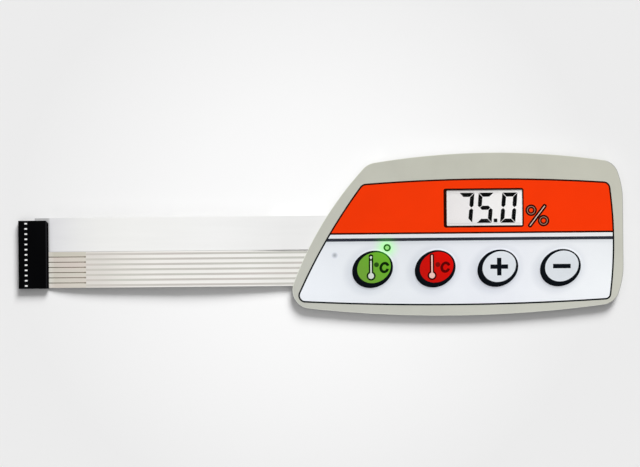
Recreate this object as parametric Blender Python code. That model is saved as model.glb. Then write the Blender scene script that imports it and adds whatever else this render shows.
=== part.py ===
"""Membrane keypad: a laminated switch panel with four embossed keys, a display behind a clear window and
two status lamps, and a flat tail that ends in a thirteen-way crimp connector.

Every size here is in millimetres. Mesh points are turned into metres where a mesh is made. The panel's
rear face is centred on the origin and lies on Z = 0, the tail leaves towards -X, and the printed face
looks up +Z.
"""

import math

import bmesh
import bpy
from mathutils.geometry import delaunay_2d_cdt

MM = 0.001

# Outline of the panel, measured between the corners where its bowed sides would meet
BASE_LENGTH = 161.15
TOP_LENGTH = 120.65
PANEL_HEIGHT = 69.08
BASE_BOW = 5.46
TOP_BOW = 5.01
SLANT_BOW = 4.75
RIGHT_BULGE = 4.05
RIGHT_FLAT = 44.4
BASE_LEFT_RADIUS = 9.3
BASE_RIGHT_RADIUS = 8.6
TOP_RIGHT_RADIUS = 9.2
TOP_LEFT_RADIUS = 9.3
RIGHT_EASE_RADIUS = 40.0
BOW_STEPS = 10
CORNER_STEP = math.radians(13)

# Thickness of each layer, from the rear to the front
LINER_THICKNESS = 0.12
REAR_ADHESIVE_THICKNESS = 0.15
PLATE_THICKNESS = 2.0
PLATE_ADHESIVE_THICKNESS = 0.13
CIRCUIT_THICKNESS = 0.175
SPACER_THICKNESS = 0.20
DOME_SPACER_THICKNESS = 0.40
OVERLAY_ADHESIVE_THICKNESS = 0.10
OVERLAY_THICKNESS = 0.25
BOND_LINE = 0.02
PLATE_INSET = 0.25

# Printed border and fields: a dark keyline, with a coloured field above the stripes and a pale one below
FIELD_TOP_MARGIN = 10.2
FIELD_BASE_MARGIN = 2.12
FIELD_RIGHT_MARGIN = 2.72
FIELD_SLANT_MARGIN_AT_TOP = 3.38
FIELD_SLANT_MARGIN_AT_BASE = 3.6
FIELD_TOP_BOW = 2.23
FIELD_RIGHT_BOW = 2.02
FIELD_BASE_BOW = 2.25
FIELD_SLANT_BOW = 1.94
FIELD_TOP_LEFT_RADIUS = 3.35
FIELD_TOP_RIGHT_RADIUS = 2.9
FIELD_BASE_LEFT_RADIUS = 3.05
FIELD_BASE_RIGHT_RADIUS = 2.5
KEYLINE_WIDTH = 0.8
SPLIT_DROP = 3.5
SPLIT_LINE_WIDTH = 0.85
BAND_DROP = 3.03
BAND_WIDTH = 1.5

# Display window, and the liquid crystal cell behind it
WINDOW_LENGTH = 36.98
WINDOW_HEIGHT = 17.35
WINDOW_RIGHT_MARGIN = 45.15
WINDOW_TOP_MARGIN = 13.29
WINDOW_RADIUS = 0.5
WINDOW_FRAME_WIDTH = 0.9
GLASS_MARGIN = 2.3
GLASS_THICKNESS = 0.7
GLASS_LEDGE = 2.4
POLARISER_THICKNESS = 0.2
POLARISER_INSET = 0.8
CELL_CLEARANCE = 0.4
CELL_HEADROOM = 0.10
CELL_TAPE_THICKNESS = 0.15
CELL_TAPE_WIDTH = 1.6
DIGIT_WIDTH = 7.4
DIGIT_HEIGHT = 14.62
DIGIT_STROKE = 1.86
DIGIT_GAP = 0.22
DIGIT_SLANT = 0.078
DIGIT_CENTRES = (-9.21, 0.32, 11.86)
DIGIT_LIFT = 0.04
DIGIT_SEGMENTS = ("abc", "afgcd", "abcdef")
POINT_PLACE = (5.33, -6.27)
POINT_SIZE = 1.75

# Keys: a printed dark oval, a coloured oval face shifted on it, and the embossed pillow below both
KEY_COUNT = 4
KEY_LEFT_MARGIN = 42.42
KEY_RIGHT_MARGIN = 26.82
KEY_BASE_MARGIN = 17.46
KEY_LENGTH = 20.57
KEY_WIDTH = 17.7
KEY_TILT = math.radians(26.7)
FACE_LENGTH = 16.9
FACE_WIDTH = 14.5
FACE_SHIFT = (0.7, 0.78)
OVAL_STEPS = 28
EMBOSS_HEIGHT = 0.5
EMBOSS_TOP_SCALE = 0.88
EMBOSS_FOOT_SCALE = 1.12
EMBOSS_RINGS = 4

# Shapes printed on the keys, placed from each key's centre: a bulb and stem on two, and bars on the others
STEM_SHIFTS = (0.0, -0.8)
STEM_OFFSET = -0.76
BULB_DROP = 3.25
STEM_TOP = 7.42
STEM_HALF_WIDTH = 1.1
BULB_RADIUS = 2.22
STEM_LINE = 0.62
SIGN_LENGTH = 8.65
SIGN_STROKE = 2.15
SIGN_PLACE = (0.68, 0.76)

# Snap domes under the keys, in their spacer, and the circuit spacer's switch holes and air channels
DOME_DIAMETER = 12.0
DOME_HEIGHT = 0.45
DOME_THICKNESS = 0.1
DOME_CLEARANCE = 0.5
DOME_STEPS = 20
DOME_RINGS = 3
SWITCH_HOLE_DIAMETER = 9.0
AIR_CHANNEL_WIDTH = 1.2

# Status lamps: surface-mount diodes under two clear spots of the overlay
LAMP_PLACE = (7.22, 10.5)
SPARE_LAMP_PLACE = (-18.47, 7.03)
LAMP_LENGTH = 1.6
LAMP_WIDTH = 0.8
LAMP_BASE_HEIGHT = 0.14
LAMP_LENS_LENGTH = 1.0
LAMP_LENS_HEIGHT = 0.2
LAMP_CLEARANCE = 0.5
LAMP_RING_RADIUS = 1.8
LAMP_RING_WIDTH = 0.8
SPARE_SPOT_RADIUS = 1.25

# Tail: the upper circuit carries the first positions and the lower circuit the rest, side by side
POSITIONS = 13
UPPER_POSITIONS = 6
PITCH = 2.54
TAIL_CENTRE_HEIGHT = -8.42
TAIL_TOP_MARGIN = 2.6
TAIL_BASE_MARGIN = 1.15
TAIL_SPLIT = 0.1
TAIL_LENGTH = 115.2
TAIL_RISE = 2.1
TAIL_ROUNDNESS = 1.25
TAIL_SPRING = 5.0
TAIL_MERGE = 0.2
TAIL_STATIONS = 16
TAIL_CLEAR_OF_PANEL = 1.0
TRACE_WIDTH = 1.0
TRACE_RUN_IN = 24.0
FINGER_GAP = 0.4
FINGER_LENGTH = 18.3
FILM_INSERTION = 6.8

# Connector: one moulded housing with a cavity, a pin entry and an inspection window for each contact
HOUSING_LENGTH = 14.65
HOUSING_END_WALL = 1.41
HOUSING_FLOOR = 0.6
HOUSING_ROOF = 0.7
HOUSING_CHAMFER = 1.3
HOUSING_STEP_LENGTH = 1.1
HOUSING_STEP_DROP = 0.3
FRONT_WALL = 0.9
PIN_ENTRY = 0.95
PIN_LEAD_IN = 1.5
LEAD_IN_DEPTH = 0.5
CAVITY_WALL = 0.44
CAVITY_HEIGHT = 2.1
SLOT_HEIGHT = 1.3
SLOT_LEAD = 0.4
WINDOW_SLOT_LENGTH = 1.7
WINDOW_SLOT_WIDTH = 1.0
WINDOW_SLOT_PLACE = 3.6
CUT_OVERRUN = 0.5

# Contacts: folded from tinned strip, a box for the pin in front and a crimped clip through the film behind
CONTACT_CLEARANCE = 0.1
STRIP_THICKNESS = 0.2
BOX_SETBACK = 0.95
SEAM_GAP = 0.12
CRIMP_LENGTH = 1.6
CRIMP_WIDTH = 1.6
CRIMP_END_MARGIN = 2.0
CRIMP_LIP = 0.42
FILM_SEAT = 0.03
SLIT_CLEARANCE = 0.12
SPRING_WIDTH = 0.9
SPRING_RISE = 0.62
SPRING_TAKE_OFF = 0.3

# Colours, as linear values
WARM_GREY = (0.54, 0.55, 0.47)
INK_BLACK = (0.004, 0.005, 0.007)
ORANGE = (0.92, 0.04, 0.003)
PALE_FIELD = (0.80, 0.84, 0.92)
BAND_SLATE = (0.028, 0.03, 0.042)
KEY_GREEN = (0.16, 0.43, 0.03)
KEY_RED = (0.72, 0.008, 0.004)
SIGN_PALE = (0.75, 0.75, 0.74)
LAMP_LIT = (0.45, 1.0, 0.42)
SPOT_GREY = (0.58, 0.61, 0.68)
DISPLAY_GREY = (0.80, 0.80, 0.79)
FILM_WHITE = (0.85, 0.85, 0.86)
TRACE_GREY = (0.56, 0.54, 0.52)
FINGER_BEIGE = (0.63, 0.60, 0.54)
ADHESIVE = (0.82, 0.80, 0.70)
LINER_BUFF = (0.75, 0.66, 0.47)
PLATE_GREY = (0.55, 0.56, 0.53)
STEEL = (0.62, 0.61, 0.58)
TIN = (0.83, 0.83, 0.83)
HOUSING_BLACK = (0.003, 0.003, 0.0035)
GLASS_TINT = (0.80, 0.86, 0.84)


def finish(name, colour, roughness=0.5, metallic=0.0, alpha=1.0):
    """A Principled material, made once for each name."""
    material = bpy.data.materials.get(name)
    if material is None:
        material = bpy.data.materials.new(name)
        material.use_nodes = True
        shader = material.node_tree.nodes["Principled BSDF"]
        shader.inputs["Base Color"].default_value = (*colour, 1.0)
        shader.inputs["Roughness"].default_value = roughness
        shader.inputs["Metallic"].default_value = metallic
        shader.inputs["Alpha"].default_value = alpha
        material.diffuse_color = (*colour, alpha)
    return material


def place(name, mesh, materials):
    """Turns a bmesh in millimetres into a named object in metres."""
    bmesh.ops.scale(mesh, vec=(MM, MM, MM), verts=mesh.verts)
    data = bpy.data.meshes.new(name)
    mesh.to_mesh(data)
    mesh.free()
    for material in materials:
        data.materials.append(material)
    thing = bpy.data.objects.new(name, data)
    bpy.context.scene.collection.objects.link(thing)
    return thing


# Outlines, all counter-clockwise

def side_point(start, end, bow, share):
    """A point part of the way along a side that stands out by bow in its middle."""
    run, rise = end[0] - start[0], end[1] - start[1]
    stand = 4 * bow * share * (1 - share) / math.hypot(run, rise)
    return start[0] + run * share + rise * stand, start[1] + rise * share - run * stand


def side_heading(start, end, bow, share):
    """The direction of travel at the start or the end of a bowed side."""
    run, rise = end[0] - start[0], end[1] - start[1]
    lean = math.atan2(4 * bow, math.hypot(run, rise))
    return math.atan2(rise, run) + lean * (2 * share - 1)


def rounded(corners, bows, radii):
    """An outline through corners with a bowed side after each corner and a fillet at each."""
    count = len(corners)
    sides = [(corners[n], corners[(n + 1) % count], bows[n]) for n in range(count)]
    turns = []
    for n in range(count):
        turn = side_heading(*sides[n], 0) - side_heading(*sides[n - 1], 1)
        turns.append(math.remainder(turn, math.tau))
    trims = [radii[n] * math.tan(turns[n] / 2) for n in range(count)]
    points = []
    for n, (start, end, bow) in enumerate(sides):
        after = (n + 1) % count
        length = math.dist(start, end)
        first, last = trims[n] / length, 1 - trims[after] / length
        steps = BOW_STEPS if bow else 1
        run = [side_point(start, end, bow, first + (last - first) * k / steps) for k in range(steps + 1)]
        points += run
        leave = side_point(*sides[after], trims[after] / math.dist(*sides[after][:2]))
        points += fillet(run[-1], side_heading(start, end, bow, 1), leave, turns[after])
    return points


def fillet(start, heading, end, turn):
    """The points between start and end on the curve that turns from one heading by turn."""
    reach = math.dist(start, end) / (2 * math.sin(turn / 2)) * 4 / 3 * math.tan(turn / 4)
    first = (start[0] + reach * math.cos(heading), start[1] + reach * math.sin(heading))
    last = (end[0] - reach * math.cos(heading + turn), end[1] - reach * math.sin(heading + turn))
    steps = max(2, round(turn / CORNER_STEP))
    points = []
    for k in range(1, steps):
        t = k / steps
        weights = ((1 - t) ** 3, 3 * t * (1 - t) ** 2, 3 * t * t * (1 - t), t ** 3)
        corners = (start, first, last, end)
        points.append(tuple(sum(w * c[axis] for w, c in zip(weights, corners)) for axis in (0, 1)))
    return points


def inset(loop, distance):
    """A smooth loop moved inwards."""
    count = len(loop)
    moved = []
    for n, (x, y) in enumerate(loop):
        before, after = loop[n - 1], loop[(n + 1) % count]
        heading = math.atan2(after[1] - before[1], after[0] - before[0])
        moved.append((x - distance * math.sin(heading), y + distance * math.cos(heading)))
    return moved


def clipped(loop, low, high):
    """The part of a convex loop whose height lies between low and high."""
    for level, keep in ((low, 1), (high, -1)):
        kept = []
        for n, point in enumerate(loop):
            before = loop[n - 1]
            gap_before, gap = keep * (before[1] - level), keep * (point[1] - level)
            if (gap_before < 0) != (gap < 0):
                share = gap_before / (gap_before - gap)
                kept.append((before[0] + share * (point[0] - before[0]), level))
            if gap >= 0:
                kept.append(point)
        loop = kept
    return loop


def oval(centre, length, width, tilt=0.0, steps=OVAL_STEPS):
    """A tilted ellipse."""
    points = []
    for n in range(steps):
        angle = math.tau * n / steps
        u, v = length / 2 * math.cos(angle), width / 2 * math.sin(angle)
        points.append((centre[0] + u * math.cos(tilt) - v * math.sin(tilt),
                       centre[1] + u * math.sin(tilt) + v * math.cos(tilt)))
    return points


def oblong(left, base, right, top):
    """An upright rectangle."""
    return [(left, base), (right, base), (right, top), (left, top)]


def block(centre, length, height):
    """An upright rectangle about its centre."""
    (x, y), dx, dy = centre, length / 2, height / 2
    return oblong(x - dx, y - dy, x + dx, y + dy)


def bar(start, end, width):
    """A straight bar of a given width between two points."""
    heading = math.atan2(end[1] - start[1], end[0] - start[0])
    dx, dy = width / 2 * math.sin(heading), -width / 2 * math.cos(heading)
    return [(start[0] + dx, start[1] + dy), (end[0] + dx, end[1] + dy),
            (end[0] - dx, end[1] - dy), (start[0] - dx, start[1] - dy)]


def bulb_and_stem(bulb, top, stem, radius):
    """The outline of a stem with a round top that stands on a round bulb."""
    half_mouth = math.asin(stem / radius)
    points = []
    for n in range(15):
        angle = math.pi / 2 + half_mouth + (math.tau - 2 * half_mouth) * n / 14
        points.append((bulb[0] + radius * math.cos(angle), bulb[1] + radius * math.sin(angle)))
    for n in range(7):
        angle = math.pi * n / 6
        points.append((bulb[0] + stem * math.cos(angle), top - stem + stem * math.sin(angle)))
    return points


def moved(point, shift):
    """A point shifted by a pair."""
    return point[0] + shift[0], point[1] + shift[1]


# Places that several pieces share

def panel_corners():
    """The panel's corners from the lower left, counter-clockwise."""
    right = (BASE_LENGTH + RIGHT_BULGE) / 2
    corner = right - RIGHT_BULGE
    half = PANEL_HEIGHT / 2
    return [(corner - BASE_LENGTH, -half), (corner, -half), (right, -RIGHT_FLAT / 2),
            (right, RIGHT_FLAT / 2), (corner, half), (corner - TOP_LENGTH, half)]


def panel_outline():
    """The outline of the laminate."""
    bows = (BASE_BOW, 0, 0, 0, TOP_BOW, SLANT_BOW)
    radii = (BASE_LEFT_RADIUS, BASE_RIGHT_RADIUS, RIGHT_EASE_RADIUS, RIGHT_EASE_RADIUS,
             TOP_RIGHT_RADIUS, TOP_LEFT_RADIUS)
    return rounded(panel_corners(), bows, radii)


def field_outline():
    """The middle of the printed keyline."""
    corners = panel_corners()
    right = corners[1][0] - FIELD_RIGHT_MARGIN
    base, top = corners[1][1] + FIELD_BASE_MARGIN, corners[4][1] - FIELD_TOP_MARGIN
    foot = slant_chord(base) + FIELD_SLANT_MARGIN_AT_BASE
    head = slant_chord(top) + FIELD_SLANT_MARGIN_AT_TOP
    outline = [(foot, base), (right, base), (right, top), (head, top)]
    bows = (FIELD_BASE_BOW, FIELD_RIGHT_BOW, FIELD_TOP_BOW, FIELD_SLANT_BOW)
    radii = (FIELD_BASE_LEFT_RADIUS, FIELD_BASE_RIGHT_RADIUS, FIELD_TOP_RIGHT_RADIUS,
             FIELD_TOP_LEFT_RADIUS)
    return rounded(outline, bows, radii)


def slant_chord(height):
    """The X of the straight line between the slanted side's corners at a height."""
    foot, head = panel_corners()[0], panel_corners()[5]
    return foot[0] + (height - foot[1]) / (head[1] - foot[1]) * (head[0] - foot[0])


def window_centre():
    """The middle of the display window."""
    right, top = moved(panel_corners()[4], (-WINDOW_RIGHT_MARGIN, -WINDOW_TOP_MARGIN))
    return right - WINDOW_LENGTH / 2, top - WINDOW_HEIGHT / 2


def key_centres():
    """The centres of the keys from left to right."""
    first, height = moved(panel_corners()[0], (KEY_LEFT_MARGIN, KEY_BASE_MARGIN))
    last = panel_corners()[1][0] - KEY_RIGHT_MARGIN
    return [(first + (last - first) * n / (KEY_COUNT - 1), height) for n in range(KEY_COUNT)]


def lamp_centres():
    """The centres of the lit lamp and of the spare one."""
    return [moved(key_centres()[0], LAMP_PLACE), moved(key_centres()[0], SPARE_LAMP_PLACE)]


def position_height(n):
    """The Y of a connector position, counted from the top."""
    return TAIL_CENTRE_HEIGHT + ((POSITIONS - 1) / 2 - n) * PITCH


def layer_heights():
    """The lowest Z of each layer in the stack."""
    stack = (("liner", LINER_THICKNESS), ("rear_adhesive", REAR_ADHESIVE_THICKNESS),
             ("plate", PLATE_THICKNESS), ("plate_adhesive", PLATE_ADHESIVE_THICKNESS),
             ("lower_circuit", CIRCUIT_THICKNESS),
             ("spacer", SPACER_THICKNESS), ("upper_circuit", CIRCUIT_THICKNESS),
             ("dome_spacer", DOME_SPACER_THICKNESS), ("overlay_adhesive", OVERLAY_ADHESIVE_THICKNESS),
             ("overlay", OVERLAY_THICKNESS))
    heights, level = {}, 0.0
    for name, thickness in stack:
        heights[name] = level
        level += thickness + BOND_LINE
    return heights


LAYER = layer_heights()
WINDOW_CENTRE = window_centre()
SPLIT_HEIGHT = WINDOW_CENTRE[1] - WINDOW_HEIGHT / 2 - SPLIT_DROP
TAIL_START = panel_corners()[0][0] - TAIL_CLEAR_OF_PANEL
TAIL_SPLIT_HEIGHT = position_height(UPPER_POSITIONS - 0.5)
HOUSING_REAR = TAIL_START - TAIL_LENGTH
HOUSING_FRONT = HOUSING_REAR - HOUSING_LENGTH
HOUSING_HEIGHT = HOUSING_FLOOR + CAVITY_HEIGHT + HOUSING_ROOF
CAVITY_WIDTH = PITCH - CAVITY_WALL
CONTACT_FLOOR = HOUSING_FLOOR + CONTACT_CLEARANCE
FILM_LEVEL = CONTACT_FLOOR + STRIP_THICKNESS + FILM_SEAT
FILM_END = HOUSING_REAR - FILM_INSERTION
CRIMP_FRONT = FILM_END + CRIMP_END_MARGIN
CRIMP_REAR = CRIMP_FRONT + CRIMP_LENGTH


# Layers: flat sheets with holes, lifted where the keys are embossed and arched along the tail

def level(x, y):
    """The relief of a flat layer."""
    return 0.0


def emboss(x, y):
    """The height of the overlay's pillow over a key."""
    for centre in key_centres():
        dx, dy = x - centre[0], y - centre[1]
        u = (dx * math.cos(KEY_TILT) + dy * math.sin(KEY_TILT)) / (KEY_LENGTH / 2)
        v = (dy * math.cos(KEY_TILT) - dx * math.sin(KEY_TILT)) / (KEY_WIDTH / 2)
        share = (EMBOSS_FOOT_SCALE - math.hypot(u, v)) / (EMBOSS_FOOT_SCALE - EMBOSS_TOP_SCALE)
        if share > 0:
            share = min(share, 1.0)
            return EMBOSS_HEIGHT * share * share * (3 - 2 * share)
    return 0.0


def tail_arch(start_level):
    """The relief of a tail film that settles beside the other one and arches over to the connector."""
    fall = FILM_LEVEL - LAYER["lower_circuit"]
    step = LAYER["lower_circuit"] - start_level

    def arch(x, y):
        share = min(max((TAIL_START - x) / TAIL_LENGTH, 0.0), 1.0)
        beside = min(share / TAIL_MERGE, 1.0)
        bend = 2 * share - 1
        hump = (1 - bend * bend) ** TAIL_ROUNDNESS if bend < 0 else 1 - bend ** TAIL_SPRING
        return step * eased(beside) + fall * eased(share) + TAIL_RISE * hump

    return arch


def eased(share):
    """A share from 0 to 1 with a slow start and a slow end."""
    return share * share * (3 - 2 * share)


def skin(outline, holes, zones, guides, seams):
    """Triangulates a sheet: its points, and each triangle with its zone's number, 0 outside them all."""
    points, edges, faces = [], [], []
    for loop in (outline, *holes, *zones, *guides):
        faces.append(list(range(len(points), len(points) + len(loop))))
        points += loop
    for start, end in seams:
        edges.append((len(points), len(points) + 1))
        points += [start, end]
    result = delaunay_2d_cdt(points, edges, faces, 0, 1e-5)
    first_zone = 1 + len(holes)
    triangles = []
    for triangle, owners in zip(result[2], result[5]):
        if 0 in owners and not any(0 < k < first_zone for k in owners):
            painted = [k - first_zone + 1 for k in owners if first_zone <= k < first_zone + len(zones)]
            triangles.append((triangle, max(painted, default=0)))
    return result[0], triangles


def sheet(name, outline, low, thickness, base_finish, holes=(), zones=(), guides=(), seams=(),
          relief=level):
    """A closed film: zones are pairs of a loop and the finish that the film has there."""
    mesh = bmesh.new()
    points, triangles = skin(outline, holes, [loop for loop, _ in zones], guides, seams)
    finishes = [base_finish]
    for _, tint in zones:
        if tint not in finishes:
            finishes.append(tint)
    used = sorted({n for triangle, _ in triangles for n in triangle})
    skins = []
    for lift_height in (0.0, thickness):
        verts = {}
        for n in used:
            x, y = points[n]
            verts[n] = mesh.verts.new((x, y, low + relief(x, y) + lift_height))
        skins.append(verts)
    base, top = skins
    edges = set()
    for triangle, zone in triangles:
        slot = finishes.index(zones[zone - 1][1]) if zone else 0
        for verts in ([top[n] for n in triangle], [base[n] for n in triangle[::-1]]):
            mesh.faces.new(verts).material_index = slot
        edges |= {(triangle[n - 1], triangle[n]) for n in range(3)}
    for start, end in edges:
        if (end, start) not in edges:
            mesh.faces.new((base[start], base[end], top[end], top[start]))
    return place(name, mesh, finishes)


def cell_rectangle(margin, ledge=0.0):
    """A rectangle round the window, with a ledge below it."""
    (x, y), dx, dy = WINDOW_CENTRE, WINDOW_LENGTH / 2 + margin, WINDOW_HEIGHT / 2 + margin
    return oblong(x - dx, y - dy - ledge, x + dx, y + dy)


def cell_opening():
    """The hole that the display cell stands in."""
    return cell_rectangle(GLASS_MARGIN + CELL_CLEARANCE, GLASS_LEDGE)


def lamp_holes():
    """The holes round the two lamps."""
    return [block(centre, LAMP_LENGTH + 2 * LAMP_CLEARANCE, LAMP_WIDTH + 2 * LAMP_CLEARANCE)
            for centre in lamp_centres()]


def dome_holes(clearance=DOME_CLEARANCE):
    """The round holes over the keys."""
    size = DOME_DIAMETER + 2 * clearance
    return [oval(centre, size, size, steps=DOME_STEPS) for centre in key_centres()]


def graphic_overlay():
    """The printed, embossed face film, with its inks as coloured zones."""
    grey = finish("overlay_border", WARM_GREY, 0.55)
    black = finish("overlay_ink_black", INK_BLACK, 0.5)
    pale = finish("overlay_field_pale", PALE_FIELD, 0.5)
    orange = finish("overlay_field_orange", ORANGE, 0.5)
    slate = finish("overlay_band", BAND_SLATE, 0.5)
    signs = finish("overlay_sign_pale", SIGN_PALE, 0.5)
    clear = finish("overlay_window", DISPLAY_GREY, 0.25, alpha=0.15)
    lit = finish("overlay_lamp_lit", LAMP_LIT, 0.4)
    spot = finish("overlay_spare_spot", SPOT_GREY, 0.5)
    keyline = field_outline()
    field = inset(keyline, KEYLINE_WIDTH / 2)
    top = PANEL_HEIGHT
    band = SPLIT_HEIGHT - BAND_DROP
    zones = [(inset(keyline, -KEYLINE_WIDTH / 2), black), (field, pale)]
    zones.append((clipped(field, SPLIT_HEIGHT - SPLIT_LINE_WIDTH / 2, top), black))
    zones.append((clipped(field, SPLIT_HEIGHT + SPLIT_LINE_WIDTH / 2, top), orange))
    zones.append((clipped(field, band - BAND_WIDTH / 2, band + BAND_WIDTH / 2), slate))
    zones.append((window_loop(WINDOW_FRAME_WIDTH), black))
    zones.append((window_loop(0), clear))
    guides = []
    for number, centre in enumerate(key_centres()):
        zones += key_zones(number, centre, black, pale, signs)
        for ring in range(EMBOSS_RINGS):
            share = ring / (EMBOSS_RINGS - 1)
            scale = EMBOSS_TOP_SCALE + (EMBOSS_FOOT_SCALE - EMBOSS_TOP_SCALE) * share
            guides.append(oval(centre, KEY_LENGTH * scale, KEY_WIDTH * scale, KEY_TILT))
    lamp, spare = lamp_centres()
    size = 2 * LAMP_RING_RADIUS
    zones.append((oval(lamp, size, size, steps=16), finish("overlay_lamp_ring", KEY_GREEN, 0.5)))
    size -= 2 * LAMP_RING_WIDTH
    zones.append((oval(lamp, size, size, steps=16), lit))
    zones.append((oval(spare, 2 * SPARE_SPOT_RADIUS, 2 * SPARE_SPOT_RADIUS, steps=12), spot))
    return sheet("graphic_overlay", panel_outline(), LAYER["overlay"], OVERLAY_THICKNESS, grey,
                 zones=zones, guides=guides, relief=emboss)


def window_loop(margin):
    """The window's rounded outline, or one that stands a margin outside it."""
    return rounded(cell_rectangle(margin), (0, 0, 0, 0), (WINDOW_RADIUS + margin,) * 4)


def key_zones(number, centre, black, pale, signs):
    """The printed oval of one key and the simple shape on its face."""
    greens = finish("key_green", KEY_GREEN, 0.5)
    reds = finish("key_red", KEY_RED, 0.5)
    face = (greens, reds, pale, pale)[number]
    zones = [(oval(centre, KEY_LENGTH, KEY_WIDTH, KEY_TILT), black),
             (oval(moved(centre, FACE_SHIFT), FACE_LENGTH, FACE_WIDTH, KEY_TILT), face)]
    if number < len(STEM_SHIFTS):
        bulb = moved(centre, (STEM_SHIFTS[number] + STEM_OFFSET, -BULB_DROP))
        top = centre[1] + STEM_TOP
        zones.append((bulb_and_stem(bulb, top, STEM_HALF_WIDTH, BULB_RADIUS), black))
        inner = bulb_and_stem(bulb, top - STEM_LINE, STEM_HALF_WIDTH - STEM_LINE, BULB_RADIUS - STEM_LINE)
        zones.append((inner, signs))
    else:
        sign = moved(centre, SIGN_PLACE)
        zones.append((block(sign, SIGN_LENGTH, SIGN_STROKE), black))
        if number == len(STEM_SHIFTS):
            zones.append((block(sign, SIGN_STROKE, SIGN_LENGTH), black))
    return zones


def laminate_layers():
    """The plain layers of the stack, each with the openings that the pieces in it need."""
    outline = panel_outline()
    opening = cell_opening()
    sheet("overlay_adhesive", outline, LAYER["overlay_adhesive"], OVERLAY_ADHESIVE_THICKNESS,
          finish("adhesive", ADHESIVE, 0.3), holes=[opening, *dome_holes(), *lamp_holes()])
    sheet("dome_spacer", outline, LAYER["dome_spacer"], DOME_SPACER_THICKNESS,
          finish("spacer_film", FILM_WHITE, 0.45), holes=[opening, *dome_holes(), *lamp_holes()])
    size = SWITCH_HOLE_DIAMETER
    switches = [oval(centre, size, size, steps=DOME_STEPS) for centre in key_centres()]
    centres = key_centres()
    channels = [bar(centres[n], centres[n + 1], AIR_CHANNEL_WIDTH) for n in range(KEY_COUNT - 1)]
    sheet("circuit_spacer", outline, LAYER["spacer"], SPACER_THICKNESS,
          finish("spacer_film", FILM_WHITE, 0.45), holes=[opening, *switches, *channels])
    sheet("plate_adhesive", outline, LAYER["plate_adhesive"], PLATE_ADHESIVE_THICKNESS,
          finish("adhesive", ADHESIVE, 0.3), holes=[opening])
    rear_opening = cell_rectangle(GLASS_MARGIN - CELL_TAPE_WIDTH, GLASS_LEDGE)
    backing = inset(outline, PLATE_INSET)
    sheet("rear_adhesive", backing, LAYER["rear_adhesive"], REAR_ADHESIVE_THICKNESS,
          finish("adhesive", ADHESIVE, 0.3), holes=[rear_opening])
    sheet("release_liner", backing, LAYER["liner"], LINER_THICKNESS, finish("liner_paper", LINER_BUFF, 0.6))
    plate = sheet("backing_plate", backing, LAYER["plate"], PLATE_THICKNESS,
                  finish("plate", PLATE_GREY, 0.5), holes=[rear_opening])
    pocket_floor = cell_levels()["tape"] - BOND_LINE
    pocket_top = LAYER["plate"] + PLATE_THICKNESS + CUT_OVERRUN
    pocket = cutter("display_pocket", [prism(opening, pocket_floor, pocket_top)])
    subtract(plate, pocket)


def cell_levels():
    """The lowest Z of each piece of the display, from its tape to its front polariser."""
    top = LAYER["overlay"] - CELL_HEADROOM
    levels = {}
    pieces = (("front_polariser", POLARISER_THICKNESS), ("front_glass", GLASS_THICKNESS),
              ("rear_glass", GLASS_THICKNESS), ("tape", CELL_TAPE_THICKNESS))
    for name, thickness in pieces:
        top -= thickness
        levels[name] = top
        top -= BOND_LINE
    levels["rear_polariser"] = levels["rear_glass"] - BOND_LINE - POLARISER_THICKNESS
    return levels


def display_cell():
    """The liquid crystal display: two glasses, two polarisers and the tape that holds them on the plate."""
    levels = cell_levels()
    glass = finish("display_glass", GLASS_TINT, 0.05, alpha=0.5)
    ground = finish("display_ground", DISPLAY_GREY, 0.35)
    black = finish("display_segment", INK_BLACK, 0.4)
    centre = WINDOW_CENTRE
    zones = []
    for x, names in zip(DIGIT_CENTRES, DIGIT_SEGMENTS):
        zones += [(segment(name, moved(centre, (x, DIGIT_LIFT))), black) for name in names]
    zones.append((block(moved(centre, POINT_PLACE), POINT_SIZE, POINT_SIZE), black))
    polariser = cell_rectangle(GLASS_MARGIN - POLARISER_INSET)
    sheet("lcd_front_polariser", polariser, levels["front_polariser"], POLARISER_THICKNESS, ground,
          zones=zones)
    sheet("lcd_front_glass", cell_rectangle(GLASS_MARGIN), levels["front_glass"], GLASS_THICKNESS, glass)
    rear = cell_rectangle(GLASS_MARGIN, GLASS_LEDGE)
    sheet("lcd_rear_glass", rear, levels["rear_glass"], GLASS_THICKNESS, glass)
    tape_hole = cell_rectangle(GLASS_MARGIN - CELL_TAPE_WIDTH, GLASS_LEDGE)
    tape_hole = [(x, y if y > centre[1] else y + CELL_TAPE_WIDTH) for x, y in tape_hole]
    sheet("lcd_tape", rear, levels["tape"], CELL_TAPE_THICKNESS, finish("display_tape", INK_BLACK, 0.6),
          holes=[tape_hole])
    back = cell_rectangle(GLASS_MARGIN - CELL_TAPE_WIDTH - CELL_CLEARANCE)
    sheet("lcd_rear_polariser", back, levels["rear_polariser"], POLARISER_THICKNESS,
          finish("display_reflector", TIN, 0.35, 0.6))


def segment(name, centre):
    """One bar of a seven-bar digit, a at the top and on clockwise to f, with g in the middle."""
    w, h, t, g = DIGIT_WIDTH / 2, DIGIT_HEIGHT / 2, DIGIT_STROKE, DIGIT_GAP
    top = [(-w + g, h), (-w + t + g, h - t), (w - t - g, h - t), (w - g, h)]
    upper = [(w - t / 2, g), (w, t / 2), (w, h - g), (w - t, h - t - g), (w - t, t / 2 + g)]
    middle = [(-w + t / 2 + g, 0), (-w + t + g, -t / 2), (w - t - g, -t / 2),
              (w - t / 2 - g, 0), (w - t - g, t / 2), (-w + t + g, t / 2)]
    shape = {"a": top, "d": top, "g": middle}.get(name, upper)
    flip_x = -1 if name in "ef" else 1
    flip_y = -1 if name in "cde" else 1
    placed = [(centre[0] + flip_x * x + DIGIT_SLANT * flip_y * y, centre[1] + flip_y * y) for x, y in shape]
    return placed[::-1] if flip_x * flip_y < 0 else placed


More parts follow.
